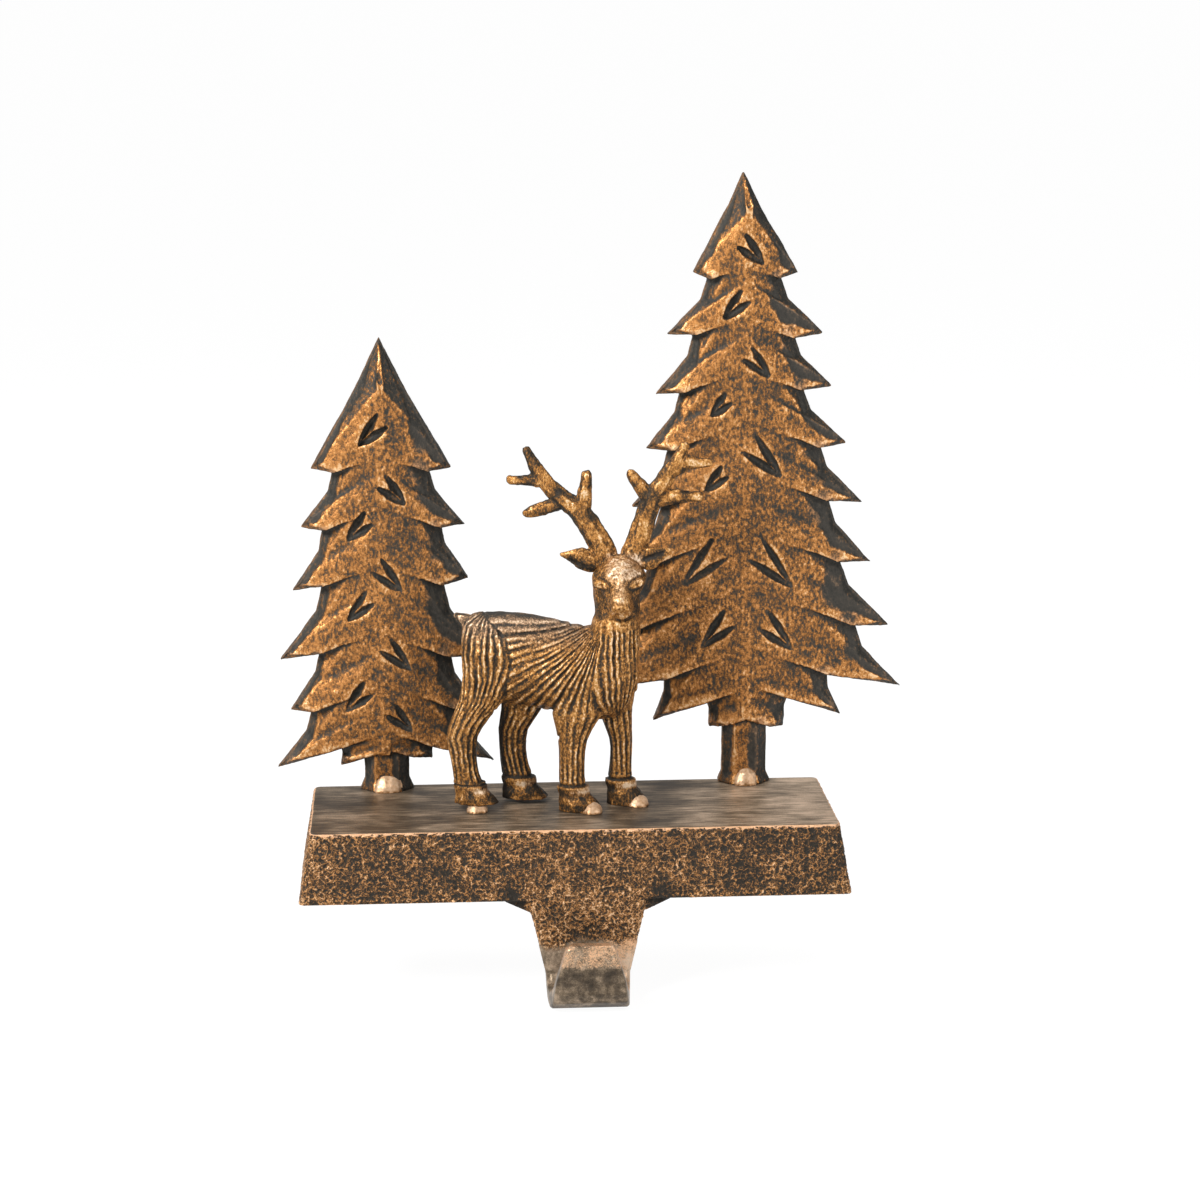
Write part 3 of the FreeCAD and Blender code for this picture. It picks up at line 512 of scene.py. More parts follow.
def rubbed_metal(name, stops, speck_mm, streak, contrast):
    """Dark patina with copper rubbed over what stands proud, broken up into specks, with the painted light
    and shade that each piece's mesh carries beside how rubbed it is.
    """
    m = Nodes(name)
    even = m.place()
    drawn = m.place(streak)
    cloud = m.noise(speck_mm * 9.0, even)
    coarse = m.noise(speck_mm * 3.4, drawn)
    speck = m.noise(speck_mm, drawn, roughness=0.55)
    fine = m.noise(speck_mm * 0.5, even, roughness=0.6)
    mottle = m.total(0.0, (cloud, 0.7 * contrast), (coarse, 0.5 * contrast), (speck, 2.1 * contrast),
                     (fine, 1.1 * contrast))
    drive = m.math("ADD", m.attribute("rub_and_shading"), m.math("MULTIPLY", mottle, m.attribute("mottle")))
    m.bump(m.total(m.ramp(drive, 0.3, 0.8, 0.0, 0.5), (fine, 0.9), (speck, 0.7)), 0.13)
    colour = m.mix(m.attribute("pale"), m.colours(drive, stops), m.colours(drive, PALE_COLOURS))
    roughness = m.ramp(drive, 0.3, 0.8, 0.56, 0.36)
    metallic = m.ramp(drive, 0.3, 0.7, 0.15, 0.7)
    return m.finish(colour, roughness, metallic)


def bead_metal():
    """Smooth pale copper with a few darker spots."""
    m = Nodes("weld_metal")
    even = m.place()
    spots = m.noise(0.8, even, detail=3.0)
    drive = m.total(m.attribute("rub_and_shading"), (m.noise(2.4, even), 0.7), (spots, 0.9))
    m.bump(m.noise(0.7, even), 0.12)
    return m.finish(m.colours(drive, BEAD_COLOURS), roughness=0.4, metallic=0.5)


def hook_painted_light(m):
    """1 on the hook, and what its crest, bevels and throat add to the sheen and to the copper gloss:
    painted shade on the prong's front, painted sheen on its bevels, crest and throat, and a painted copper
    highlight on its crest and the throat's right side.
    """
    axes = m.add("ShaderNodeSeparateXYZ")
    m.join(m.add("ShaderNodeTexCoord").outputs["Object"], axes.inputs[0])
    x, y, z = axes.outputs

    def reached(axis, start, end):
        """0 at the start and 1 at the end, both in millimetres along an axis."""
        return m.ramp(axis, start * MM, end * MM)

    (low, wide), (high, narrow) = PRONG_HALF_WIDTHS
    side = m.math("ABSOLUTE", m.math("SUBTRACT", x, HOOK_MIDDLE * MM))
    half = m.ramp(z, low * MM, high * MM, wide * MM, narrow * MM)
    on_hook = reached(z, *HOOK_START)
    prong = m.math("MULTIPLY", on_hook, reached(y, PRONG_BACK + 1.0, PRONG_BACK))
    throat = m.math("MULTIPLY", reached(z, *THROAT_START), m.math("SUBTRACT", 1.0, prong))
    bevel = m.math("MULTIPLY", prong, m.ramp(m.math("DIVIDE", side, half), *BEVEL_START))
    crest = m.math("MULTIPLY", prong, reached(z, *CREST_START))
    right = m.math("MULTIPLY", throat, reached(x, *THROAT_BRIGHT))
    sheen = m.sum_of((prong, -0.2), (bevel, 0.16), (crest, 0.36), (throat, 0.12), (right, 0.3))
    return on_hook, sheen, m.sum_of((crest, 0.5), (right, 0.52))


def base_metal():
    """The base: pebbled and rubbed walls, a smooth brushed top and a smooth hook, with painted sheen and
    highlights on the top and the hook.
    """
    m = Nodes("base_metal")
    even = m.place()
    flat = m.attribute("flat")
    fine = m.noise(0.4, even, roughness=0.6)
    speck = m.noise(0.9, even, detail=3.0, roughness=0.6)
    coarse = m.noise(7.0, even, roughness=0.55)
    net = m.math("MAXIMUM", m.net(1.25, even), m.math("MULTIPLY", m.net(0.8, even), 0.7))
    walls = m.total(m.attribute("rub_and_shading"), (coarse, 0.9), (speck, 0.6), (fine, 0.7), (net, 0.6))
    on_hook, hook_sheen, hook_gloss = hook_painted_light(m)
    brush = m.noise(1.0, m.place((0.1, 1.0, 1.0)), detail=3.0, roughness=0.65)
    blotch = m.noise(2.6, even, detail=3.0, roughness=0.6)
    grain = m.math("ADD", brush, m.math("MULTIPLY", on_hook, m.math("SUBTRACT", blotch, brush)))
    cloud = m.noise(13.0, m.place((0.6, 1.0, 1.0)), detail=3.0, roughness=0.55)
    sheen = m.math("ADD", m.attribute("sheen"), hook_sheen)
    smooth = m.total(sheen, (cloud, 1.5), (grain, 1.4), (fine, 0.6))
    colour = m.mix(flat, m.colours(walls, WALL_COLOURS), m.colours(smooth, TOP_COLOURS))
    gloss = m.math("ADD", m.attribute("edge"), hook_gloss)
    glint = m.ramp(m.total(gloss, (fine, 0.8), (speck, 0.6), (coarse, 0.5)), 0.35, 0.75)
    rough = m.math("MULTIPLY", m.total(net, (fine, 1.0)), m.math("SUBTRACT", 1.08, flat))
    m.bump(m.total(m.math("MULTIPLY", grain, 0.3), (rough, 0.9)), 0.12)
    roughness = m.ramp(flat, 0.0, 1.0, 0.5, 0.4)
    metallic = m.ramp(walls, 0.3, 0.7, 0.25, 0.65)
    return m.finish(m.mix(glint, colour, RIM_COLOUR), roughness, metallic)


# The deer's fur

def to_deer(corners):
    """The corners in the deer's own frame."""
    turn = math.radians(-DEER_TURN)
    x, y = corners[:, 0] - DEER_PLACE[0], corners[:, 1] - DEER_PLACE[1]
    return np.stack([x * math.cos(turn) - y * math.sin(turn), x * math.sin(turn) + y * math.cos(turn),
                     corners[:, 2] - BASE_TOP], axis=1)


def drawn_out(place, share):
    """The places with their heights shrunk, so that noise on them is longer up and down."""
    return place * np.array([1, 1, share])


def around(place, line):
    """The turn about a limb's middle line, from -0.5 to 0.5, and the distance from it."""
    heights, along, across = line
    u = place[:, 0] - np.interp(place[:, 2], heights, along)
    v = place[:, 1] - np.interp(place[:, 2], heights, across)
    return np.arctan2(v, u) / (2 * math.pi), np.hypot(u, v)


def strand(phase):
    """1 on a strand of fur and 0 in the groove beside it, with a faint second line on each strand."""
    main = np.abs(np.sin(math.pi * phase)) ** 1.4
    second = np.abs(np.sin(2 * math.pi * phase + 0.9)) ** 0.6
    return 0.84 * main + 0.16 * second


def leg_fur(place, wander):
    """The strands that run down the nearest leg."""
    fur = np.zeros(len(place))
    nearest = np.full(len(place), np.inf)
    for line in LEG_LINES.values():
        turn, distance = around(place, line)
        fur = np.where(distance < nearest, strand(turn * LEG_STRANDS + 0.32 * wander), fur)
        nearest = np.minimum(nearest, distance)
    return fur


def fur_height(place):
    """The carved fur, from 0 in the grooves to 1 on the strands, and how strongly it is carved."""
    u, _, w = place.T
    wander = lattice_noise(drawn_out(place, 0.6), 6.5, 3) + 0.45 * lattice_noise(place, 2.4, 4)
    angle = np.degrees(np.arctan2(w - FAN_CENTRE[1], u - FAN_CENTRE[0])) % 360
    radius = np.hypot(u - FAN_CENTRE[0], w - FAN_CENTRE[1])
    fan = strand(angle / FAN_PITCH + 0.28 * wander)
    neck_turn, _ = around(place, NECK_LINE)
    neck = strand(neck_turn * NECK_STRANDS + 0.38 * wander)
    haunch_turn, _ = around(place, LEG_LINES["near_hind"])
    haunch = strand(haunch_turn * HAUNCH_STRANDS + 0.4 * wander)
    in_fan = (angle > FAN_SPAN[0]) & (angle < FAN_SPAN[1])
    border = u - np.interp(w, *HAUNCH_LINE)
    in_haunch = fade(-0.4, 0.4, border)
    in_leg = fade(*LEG_TOPS, w)
    body = np.where(in_fan, fan, neck)
    body = body * (1 - in_haunch) + haunch * in_haunch
    height = body * (1 - in_leg) + leg_fur(place, wander) * in_leg
    seam = bell(border, 0.5) * smoothstep(36, 40, w)
    height = height * (1 - 0.9 * seam)
    collar = smoothstep(*COLLAR, w) * smoothstep(5.0, 11.0, u)
    carved = (1 - collar) * smoothstep(CUFF_HEIGHT + 0.8, CUFF_HEIGHT + 2.4, w)
    near_centre = fade(3.0, 7.0 + 9.0 * fade(170, 182, angle), radius)
    carved = np.where(in_fan & (in_haunch < 0.5), carved * (1 - near_centre), carved)
    broken = lattice_noise(drawn_out(place, 0.45), 2.6, 5)
    carved *= np.clip(0.8 - 0.14 * in_leg + 0.65 * broken, 0.1, 1)
    return height, carved


# The deer's face

def from_point(place, middle):
    """How far each place is from a point of the face, as seen from the front."""
    return np.hypot(place[:, 0] - middle[0], place[:, 2] - middle[1])


def stroke(place, start, end, half_width):
    """1 on a straight stroke across the face, falling off beside it."""
    u, w = place[:, 0], place[:, 2]
    run = np.array(end) - np.array(start)
    share = np.clip(((u - start[0]) * run[0] + (w - start[1]) * run[1]) / (run @ run), 0, 1)
    away = np.hypot(u - start[0] - share * run[0], w - start[1] - share * run[1])
    return bell(away, half_width)


def eye_reach(place, eye):
    """How far out a place is from an eye's middle: 1 on its outline."""
    (u0, w0), half_length, half_height, slant = eye
    turn = math.radians(slant)
    u, w = place[:, 0] - u0, place[:, 2] - w0
    along = u * math.cos(turn) + w * math.sin(turn)
    up = -u * math.sin(turn) + w * math.cos(turn)
    return np.hypot(along / half_length, up / half_height)


def towards_viewer(out):
    """1 on what looks to the front and 0 on what looks away."""
    return smoothstep(-0.05, 0.35, -out[:, 1])


def ear_hollows(place):
    """1 in the middle of each ear's hollow, falling off beside it."""
    hollow = np.zeros(len(place))
    for start, end, half_width in EAR_HOLLOWS:
        hollow = np.maximum(hollow, stroke(place, start, end, half_width * EAR_EDGE))
    return hollow


def face_relief(place, out):
    """How far the head stands out in millimetres, with its face and its ears' hollows carved."""
    _, v, w = place.T
    front = towards_viewer(out)
    on_head = front * smoothstep(HEAD_FOOT, HEAD_FOOT + 1, w) * fade(0.5, 2.0, v)
    carved = np.zeros(len(place))
    for start, end, half_width, height in FACE_STROKES:
        carved += height * stroke(place, start, end, half_width)
    for middle, half_width, height in FACE_DENTS:
        carved += height * bell(from_point(place, middle), half_width)
    for eye in EYES:
        reach = eye_reach(place, eye)
        carved += 0.35 * np.clip(1 - reach ** 2, 0, 1) - 0.36 * bell(reach - 1.1, 0.3)
        carved -= 0.4 * bell(reach, 0.35)
    swell = np.zeros(len(place))
    for middle, half_width, height in HEAD_SWELLS:
        swell += height * bell(from_point(place, middle), half_width)
    swell *= smoothstep(HEAD_FOOT, HEAD_FOOT + 2, w) * fade(2.0, 6.0, v)
    tuft = 0.36 * layered_noise(place, 1.5, 2, 15) * smoothstep(74, 75, w) * fade(80, 83, w)
    return on_head * (carved + tuft) + swell - front * EAR_DEPTH * ear_hollows(place)


# The deer

def carve_deer(mesh):
    """Smooths the casting, then carves its fur, face, antlers and hooves."""
    corners, edges = read_mesh(mesh)
    height = to_deer(corners)[:, 2]
    body = fade(58, 64, height) * smoothstep(9, 11, height)
    corners = relaxed(corners, edges, 7, 0.35 + 0.65 * body)
    corners = relaxed(corners, edges, 40, body)
    write_corners(mesh, corners)
    place = to_deer(corners)
    out = corner_normals(mesh)
    u, _, w = place.T
    fur, carved = fur_height(place)
    withers = smoothstep(0.2, 0.6, out[:, 2]) * smoothstep(-12, -4, u)
    antlers = smoothstep(ANTLER_FOOT - 1, ANTLER_FOOT + 2, w)
    bark = layered_noise(drawn_out(place, 0.7), 1.9, 2, 25)
    hoof = fade(CUFF_HEIGHT - 0.4, CUFF_HEIGHT + 0.6, w)
    crease = bell(w - CUFF_HEIGHT - CREASE_RISE, 0.45)
    waist = bell(w - CUFF_HEIGHT + 2.4, 1.0)
    depth = FUR_DEPTH * carved * (1 - 0.7 * withers) * (fur - 0.75) + face_relief(place, out)
    depth += 0.06 * layered_noise(place, 2.6, 2, 9)
    depth += antlers * 0.42 * (bark - 0.25) - 0.4 * crease - 0.15 * waist
    depth += hoof * 0.28 * layered_noise(place, 2.4, 2, 35)
    write_corners(mesh, corners + out * depth[:, None])


def head_rub_and_shade(place, out):
    """What the head's bright and dark places add, with painted shade on the cheeks' outer sides, and 1 on
    its pale crown.
    """
    u, v, w = place.T
    front = np.clip(-out[:, 1], 0, 1)
    aside = u - FACE_MIDDLE
    bridge = fade(0.8, 3.6, np.abs(aside + 0.8 * lattice_noise(place, 2.5, 55)))
    crown = np.maximum(smoothstep(72, 76, w), 0.55 * bridge * smoothstep(66, 70, w))
    crown *= fade(79.5, 82, w) * front * fade(4.2, 6.6, np.abs(aside - 0.9))
    muzzle = fade(64, 66, w) * smoothstep(61.2, 62, w) * fade(-12, -10, v)
    # Painted shade on the cheeks' outer sides, which rounds the head's taper.
    cheek = smoothstep(3.2, 5.2, np.abs(aside + 0.1)) * smoothstep(60, 62, w) * fade(69, 71, w) * (v < 2)
    throat = smoothstep(*COLLAR, w) * fade(60, 61, w) * smoothstep(8, 12, u)
    ears = towards_viewer(out) * ear_hollows(place)
    rub_and_shading = 0.42 * crown + 0.3 * muzzle - 0.46 * ears - 0.14 * cheek + 0.12 * throat
    for eye in EYES:
        reach = eye_reach(place, eye)
        outline = bell(reach - 1.15, 0.3) + 0.6 * bell(reach, 0.35)
        rub_and_shading += (0.34 * np.clip(1 - reach ** 2, 0, 1) - 0.24 * outline) * front
    return rub_and_shading, crown


def hoof_rub(place, out):
    """What the hooves add to the rub, and 1 on the pale band below their cuffs."""
    w = place[:, 2]
    hooves = fade(CUFF_HEIGHT - 0.5, CUFF_HEIGHT + 0.5, w)
    blotch = hooves * lattice_noise(place, 2.2, 45)
    band = bell(w - CUFF_HEIGHT + 1.1, 1.1) * smoothstep(-0.5, 0.3, out[:, 0])
    crease = bell(w - CUFF_HEIGHT - CREASE_RISE, 0.5)
    return 0.3 * blotch - 0.14 * hooves + 0.6 * band - 0.3 * crease, band


def antler_rub(place, out):
    """What the antlers add to the rub, darker on their sides, and 1 on the antlers."""
    antlers = smoothstep(ANTLER_FOOT, ANTLER_FOOT + 4, place[:, 2])
    sides = 0.6 * (np.abs(out[:, 1]) - 0.8)
    left_one = place[:, 0] < 18
    return antlers * (sides - 0.05 - 0.05 * left_one + 0.28 * lattice_noise(place, 3.2, 57)), antlers


def leg_painted_shade(place, out):
    """How much painted shade darkens the far hind leg and the legs' shadowed sides."""
    u, v, w = place.T
    low = fade(28, 34, w)
    far = smoothstep(1, 3, v)
    far_hind = far * fade(30, 36, w) * fade(-4, 0, u)
    far_side = far * smoothstep(0.2, 0.7, -out[:, 0])
    near_side = (1 - far) * (u < -14) * smoothstep(0.3, 0.8, out[:, 0])
    return 0.2 * far_hind + 0.32 * low * (far_side + near_side)


def colour_deer(mesh):
    """Writes how far each corner is rubbed bright, with painted light and shade added, how mottled and how
    pale it is.
    """
    corners, edges = read_mesh(mesh)
    place = to_deer(corners)
    out = corner_normals(mesh)
    u, _, w = place.T
    proud = relief(mesh, corners, edges, 1, 14)
    fur, carved = fur_height(place)
    head, crown = head_rub_and_shade(place, out)
    hooves, band = hoof_rub(place, out)
    horn, antlers = antler_rub(place, out)
    # Painted light: brighter on faces turned up and to the left, beside the rubbed faces turned to the
    # front, and painted shade on faces turned to the back.
    facing = np.clip(-out[:, 1] * 0.8 + out[:, 2] * 0.3 - out[:, 0] * 0.15, -1, 1)
    rub_and_shading = 0.38 + 0.8 * np.clip(proud, -0.25, 0.25) + carved * (fur - 0.6) * 0.6 + 0.14 * facing
    rub_and_shading += head + hooves + horn - leg_painted_shade(place, out) - 0.08 * smoothstep(0.1, 0.6, out[:, 1])
    spine = smoothstep(50, 60, w) * fade(8, 14, u) * fade(62, 66, w)
    set_attribute(mesh, "rub_and_shading", rub_and_shading)
    set_attribute(mesh, "mottle", 1 + 0.1 * crown - 0.15 * antlers)
    set_attribute(mesh, "pale", np.clip(0.75 * crown + 0.65 * spine + 0.5 * band, 0, 1))


def deer_piece(material):
    """The stag, carved and coloured."""
    mesh = fine_surface("deer")
    carve_deer(mesh)
    mesh = thinned(mesh)
    colour_deer(mesh)
    return dressed("deer_casting", mesh, material, "deer")


# Trees

def outline_reach(corners, out):
    """How far each corner is, seen from the front, from the outline's upper and its lower edges."""
    seen = np.stack([corners[:, 0], corners[:, 2], np.zeros(len(corners))], axis=1)
    rim = (np.abs(out[:, 1]) < 0.4) & (corners[:, 1] > corners[:, 1].max() - RIM_DEPTH)
    reaches = []
    for chosen in (rim & (out[:, 2] > -0.2), rim & (out[:, 2] <= -0.2)):
        spots = seen[chosen][::2]
        tree = KDTree(len(spots))
        for index, spot in enumerate(spots):
            tree.insert(spot, index)
        tree.balance()
        reaches.append(np.array([tree.find(spot)[2] for spot in seen]))
    return reaches


def patina_and_shade_share(corners, upper, lower, apex):
    """1 where a bough's upper slope lies dark under the bough above, as patina with painted shade that
    reaches wider right of the trunk, and at its tip and round the notches.
    """
    x, _, z = corners.T
    below_top = apex[1] - z
    wander = 1 + 0.45 * lattice_noise(corners, 15.0, 91) + 0.25 * lattice_noise(corners, 4.0, 92)
    on_right = smoothstep(-1, 3, x - apex[0]) * smoothstep(CONE_HEIGHT - 4, CONE_HEIGHT + 4, below_top)
    left_width, right_width = SLOPE_WIDTH
    width = (left_width + (right_width - left_width) * on_right) * wander
    width *= 0.3 + 0.7 * smoothstep(4, 18, below_top)
    slope = fade(0.6, 1.0, upper / width) * fade(0.42, 0.6, upper / (upper + lower + 0.01))
    tip = fade(1.6, 4.2, upper + lower) * smoothstep(5, 10, below_top)
    return np.maximum(slope, 0.75 * tip)


def carve_tree(mesh):
    """Swells the boughs and sinks their dark slopes, and gives the top's place along X and Z."""
    corners, edges = read_mesh(mesh)
    corners = relaxed(corners, edges, 6)
    write_corners(mesh, corners)
    out = corner_normals(mesh)
    back = smoothstep(0.6, 0.9, out[:, 1])
    swell = 0.3 * layered_noise(corners, 8.0, 2, 21) + 0.13 * layered_noise(corners, 1.8, 2, 31) - 0.1
    upper, lower = outline_reach(corners, out)
    apex = corners[np.argmax(corners[:, 2])][[0, 2]]
    swell -= SLOPE_DEPTH * patina_and_shade_share(corners, upper, lower, apex) * smoothstep(0.5, 0.8, -out[:, 1])
    write_corners(mesh, corners + out * (swell * (1 - 0.85 * back))[:, None])
    return apex


def colour_tree(mesh, apex):
    """Writes how far each corner is rubbed bright, with painted light and shade added, how mottled and how
    pale it is.
    """
    corners, edges = read_mesh(mesh)
    out = corner_normals(mesh)
    proud = relief(mesh, corners, edges, 1, 12)
    wide = relief(mesh, corners, edges, 4, 60)
    facing = smoothstep(0.72, 0.95, -out[:, 1])
    upper, lower = outline_reach(corners, out)
    # The patina here holds the dark patina and the painted shade under each bough.
    patina = patina_and_shade_share(corners, upper, lower, apex) * facing
    ridge = fade(1.0, 3.2, np.abs(lower - 1.9)) * (1 - patina) * facing
    inward = smoothstep(0.8, 2.2, np.minimum(upper, lower))
    proud = np.clip(proud, -0.22, 0.22 * inward)
    # The broad relief paints shade into broad hollows, beside brightening the broad swells.
    rub_and_shading = 0.18 + 0.34 * facing + 1.5 * proud + 0.5 * np.clip(wide, -0.5, 0.3)
    # Painted light: brighter on faces turned to the left.
    rub_and_shading += 0.16 * np.clip(-out[:, 0], -1, 1) + 0.12 * ridge - 0.3 * patina
    rub_and_shading = np.where(out[:, 1] > 0.5, BACK_RUB, np.maximum(rub_and_shading, LEAST_RUB))
    set_attribute(mesh, "rub_and_shading", rub_and_shading)
    # Painted light also leaves the faces turned to the left less mottled.
    set_attribute(mesh, "mottle", 1 - 0.6 * patina - 0.35 * smoothstep(0.05, 0.3, -out[:, 0]))
    set_attribute(mesh, "pale", 0.7 * patina)


def tree_piece(node, name, material):
    """One fir tree, carved and coloured."""
    mesh = fine_surface(node)
    apex = carve_tree(mesh)
    mesh = thinned(mesh)
    colour_tree(mesh, apex)
    return dressed(name, mesh, material, node)


# Base

def base_zones(corners, out):
    """How much each corner belongs to the level top and to the smooth end of the hook."""
    height = corners[:, 2]
    level = smoothstep(0.55, 0.9, out[:, 2]) * smoothstep(15, 18, height)
    wander = 3.0 * lattice_noise(corners, 7.0, 41) + 1.2 * lattice_noise(corners, 2.0, 42)
    shank = fade(-15.0, -12.0, height + wander)
    prong = smoothstep(-PRONG_BACK - 1.0, -PRONG_BACK, -corners[:, 1]) * (height < 0)
    return level, np.maximum(shank, prong)


def wrinkles(corners):
    """1 on the winding ridges of the pebbled walls and 0 in the pits between them."""
    warped = corners + 0.4 * np.stack([lattice_noise(corners, 1.3, 50 + axis) for axis in range(3)], axis=1)
    lines = [1 - np.clip(np.abs(lattice_noise(warped, size, 60 + seed)) / width, 0, 1)
             for seed, (size, width) in enumerate(WRINKLES)]
    return np.maximum(lines[0], 0.8 * lines[1])


def carve_base(mesh):
    """Wrinkles the walls, and leaves the top, the underside and the hook's end nearly smooth."""
    corners, edges = read_mesh(mesh)
    corners = relaxed(corners, edges, 4)
    write_corners(mesh, corners)
    out = corner_normals(mesh)
    level, hook = base_zones(corners, out)
    x, y, z = corners.T
    under = smoothstep(0.5, 0.9, -out[:, 2])
    half_width, half_depth, height = SHELL_INSIDE
    inside = (np.abs(x) < half_width) & (np.abs(y) < half_depth) & (z < height)
    pebbled = (1 - level) * (1 - under) * (1 - hook) * np.where(inside, 0.25, 1.0)
    ridge = wrinkles(corners)
    depth = pebbled * (0.5 * (ridge - 0.75) + 0.16 * layered_noise(corners, 5.0, 2, 65) - 0.08)
    depth += level * (0.05 * lattice_noise(corners, 14.0, 70) - 0.02)
    write_corners(mesh, corners + out * depth[:, None])


def colour_base(mesh):
    """Writes how far the walls are rubbed, with painted shade round the hook's root, where the metal is
    flat, its painted sheen and its bright edge.
    """
    corners, edges = read_mesh(mesh)
    out = corner_normals(mesh)
    x, y, z = corners.T
    level, hook = base_zones(corners, out)
    proud = relief(mesh, corners, edges, 1, 9)
    facing = np.clip(-out[:, 1], 0, 1)
    side = np.abs(x - HOOK_MIDDLE)
    rub_and_shading = 0.31 + 1.4 * np.clip(proud, -0.16, 0.16) + 0.22 * (wrinkles(corners) - 0.4) + 0.06 * facing
    # Brighter along the lower edge and towards the left end, darker towards the right end.
    rub_and_shading += 0.1 * fade(1.0, 6.0, z) + 0.12 * fade(-82, -72, x) - 0.06 * smoothstep(40, 60, x)
    rub_and_shading += 0.08 * fade(16, 26, side)
    # Painted shade under the base round the hook's root, and in the notches on the front beside the shank's
    # top.
    gusset = smoothstep(SHANK_HALF_WIDTH - 1.6, SHANK_HALF_WIDTH - 0.4, side)
    gusset *= fade(-0.2, 0.6, z) * fade(30, 34, side)
    notch_shade = bell(side - SHANK_HALF_WIDTH - 2.4, 3.2) * bell(z - 1.8, 2.6)
    set_attribute(mesh, "rub_and_shading", rub_and_shading - 0.6 * gusset - 0.4 * notch_shade)
    set_attribute(mesh, "flat", np.clip(level + hook, 0, 1))
    # Painted sheen on the top: brighter towards the right end, with a painted highlight spot on its right
    # back part.
    glow = bell(x - 50, 12) * bell(y - 12, 8)
    set_attribute(mesh, "sheen", 0.42 + level * (0.34 * smoothstep(20, 70, x) + 0.25 * glow))
    rim = bell(z - BASE_TOP + 0.35, 0.7) * smoothstep(0.1, 0.35, out[:, 2])
    set_attribute(mesh, "edge", rim * fade(0.95, 0.995, out[:, 2]))


def base_piece(material):
    """The base with its hook, wrinkled and coloured."""
    mesh = fine_surface("base_casting")
    carve_base(mesh)
    mesh = thinned(mesh)
    colour_base(mesh)
    return dressed("base_with_hook", mesh, material, "base_casting")


# Weld beads

def bead_piece(node, material):
    """A smooth drop of weld, darker where it meets the base."""
    mesh = fine_surface(node)
    corners, edges = read_mesh(mesh)
    corners = relaxed(corners, edges, BEAD_ROUNDS, swell=BEAD_SWELL)
    write_corners(mesh, corners)
    out = corner_normals(mesh)
    corners = corners + out * (0.3 * layered_noise(corners, 2.6, 2, 80) - 0.06)[:, None]
    write_corners(mesh, corners)
    proud = relief(mesh, corners, edges, 1, 20)
    low = fade(0.2, 1.2, corners[:, 2] - BASE_TOP)
    set_attribute(mesh, "rub_and_shading", 0.62 + 2.2 * np.clip(proud, -0.2, 0.2) - 0.35 * low)
    return dressed(node + "_bead", mesh, material, node)


# Stage, lamps and camera

def seen_directly(tree, *rays):
    """1 for the kinds of ray named, and 0 for the light that falls on the object."""
    path = tree.nodes.new("ShaderNodeLightPath")
    seen = path.outputs[rays[0]]
    for ray in rays[1:]:
        both = tree.nodes.new("ShaderNodeMath")
        both.operation = "MAXIMUM"
        tree.links.new(seen, both.inputs[0])
        tree.links.new(path.outputs[ray], both.inputs[1])
        seen = both.outputs[0]
    return seen


def floor_paper():
    """A white surface that keeps a faint shadow where the camera sees it."""
    material = bpy.data.materials.new("floor_paper")
    material.use_nodes = True
    tree = material.node_tree
    tree.nodes.clear()
    output = tree.nodes.new("ShaderNodeOutputMaterial")
    diffuse = tree.nodes.new("ShaderNodeBsdfDiffuse")
    diffuse.inputs["Color"].default_value = (*FLOOR_COLOUR, 1.0)
    glow = tree.nodes.new("ShaderNodeEmission")
    glow.inputs["Strength"].default_value = FLOOR_GLOW
    part = tree.nodes.new("ShaderNodeMath")
    part.operation = "MULTIPLY"
    part.inputs[1].default_value = FLOOR_WHITE
    seen = seen_directly(tree, "Is Camera Ray", "Is Glossy Ray", "Is Transmission Ray")
    tree.links.new(seen, part.inputs[0])
    mix = tree.nodes.new("ShaderNodeMixShader")
    tree.links.new(part.outputs[0], mix.inputs[0])
    tree.links.new(diffuse.outputs[0], mix.inputs[1])
    tree.links.new(glow.outputs[0], mix.inputs[2])
    tree.links.new(mix.outputs[0], output.inputs[0])
    return material


def floor():
    """A wide white floor just under the hook's lowest point."""
    lowest = cad_box[0][2]
    bpy.ops.mesh.primitive_plane_add(size=FLOOR_SIZE_M, location=(0, 0, lowest - FLOOR_GAP * MM))
    plane = bpy.context.object
    plane.name = "floor"
    plane.data.materials.append(floor_paper())


def white_light(tree, strength):
    """A white background of that strength."""
    node = tree.nodes.new("ShaderNodeBackground")
    node.inputs["Color"].default_value = (1.0, 1.0, 1.0, 1.0)
    node.inputs["Strength"].default_value = strength
    return node.outputs[0]


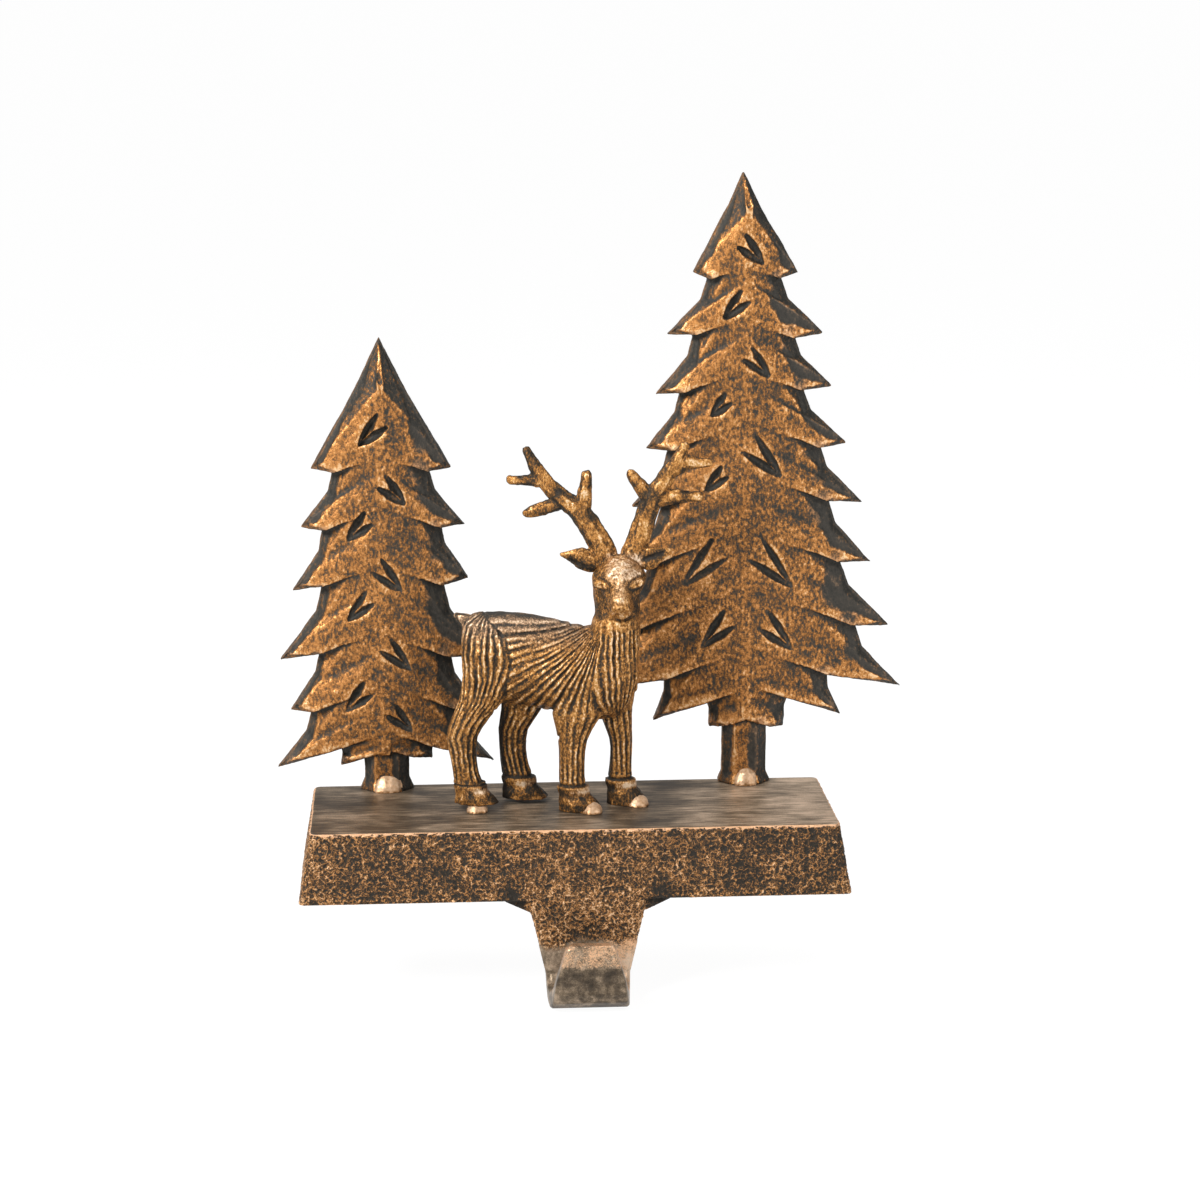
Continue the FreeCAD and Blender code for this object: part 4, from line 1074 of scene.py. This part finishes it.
def world():
    """A soft even light, which the camera sees as plain white."""
    background = bpy.data.worlds.new("studio")
    bpy.context.scene.world = background
    background.use_nodes = True
    tree = background.node_tree
    tree.nodes.clear()
    output = tree.nodes.new("ShaderNodeOutputWorld")
    mix = tree.nodes.new("ShaderNodeMixShader")
    tree.links.new(seen_directly(tree, "Is Camera Ray", "Is Transmission Ray"), mix.inputs[0])
    tree.links.new(white_light(tree, WORLD_LIGHT), mix.inputs[1])
    tree.links.new(white_light(tree, 1.0), mix.inputs[2])
    tree.links.new(mix.outputs[0], output.inputs[0])


def lamp(name, place_mm, aim_mm, size_mm, watts):
    """A round soft lamp that looks at its aim."""
    light = bpy.data.lights.new(name, "AREA")
    light.shape = "DISK"
    light.size = size_mm * MM
    light.energy = watts
    holder = bpy.data.objects.new(name, light)
    holder.location = Vector(place_mm) * MM
    holder.rotation_euler = (Vector(aim_mm) - Vector(place_mm)).to_track_quat("-Z", "Y").to_euler()
    bpy.context.scene.collection.objects.link(holder)


def camera():
    """The camera at its place, turned by its yaw, pitch and roll."""
    yaw, pitch, roll = (math.radians(value) for value in (CAMERA_YAW, CAMERA_PITCH, CAMERA_ROLL))
    forward = Vector((math.sin(yaw) * math.cos(pitch), math.cos(yaw) * math.cos(pitch), -math.sin(pitch)))
    right = Vector((math.cos(yaw), -math.sin(yaw), 0.0))
    up = right.cross(forward)
    turn = Matrix((right, up, -forward)).transposed().to_4x4() @ Matrix.Rotation(roll, 4, "Z")
    lens = bpy.data.cameras.new("camera")
    lens.lens = CAMERA_LENS
    lens.sensor_width = SENSOR
    lens.sensor_fit = "HORIZONTAL"
    lens.clip_start = NEAR_CLIP_M
    holder = bpy.data.objects.new("camera", lens)
    holder.matrix_world = Matrix.Translation(Vector(CAMERA_PLACE) * MM) @ turn
    bpy.context.scene.collection.objects.link(holder)
    bpy.context.scene.camera = holder


camera()
world()
floor()
for settings in LAMPS:
    lamp(*settings)
bpy.context.scene.view_settings.view_transform = "Standard"

tree_metal = rubbed_metal("tree_metal", TREE_COLOURS, speck_mm=0.8, streak=(1.0, 1.0, 0.65), contrast=0.66)
deer_metal = rubbed_metal("deer_metal", DEER_COLOURS, speck_mm=0.6, streak=(1.0, 1.0, 0.7), contrast=0.62)
weld_metal = bead_metal()
deer_piece(deer_metal)
tree_piece("small_tree", "small_fir", tree_metal)
tree_piece("tall_tree", "tall_fir", tree_metal)
base_piece(base_metal())
for bead_node in sorted(name for name in frame["nodes"] if name.startswith("weld_")):
    bead_piece(bead_node, weld_metal)
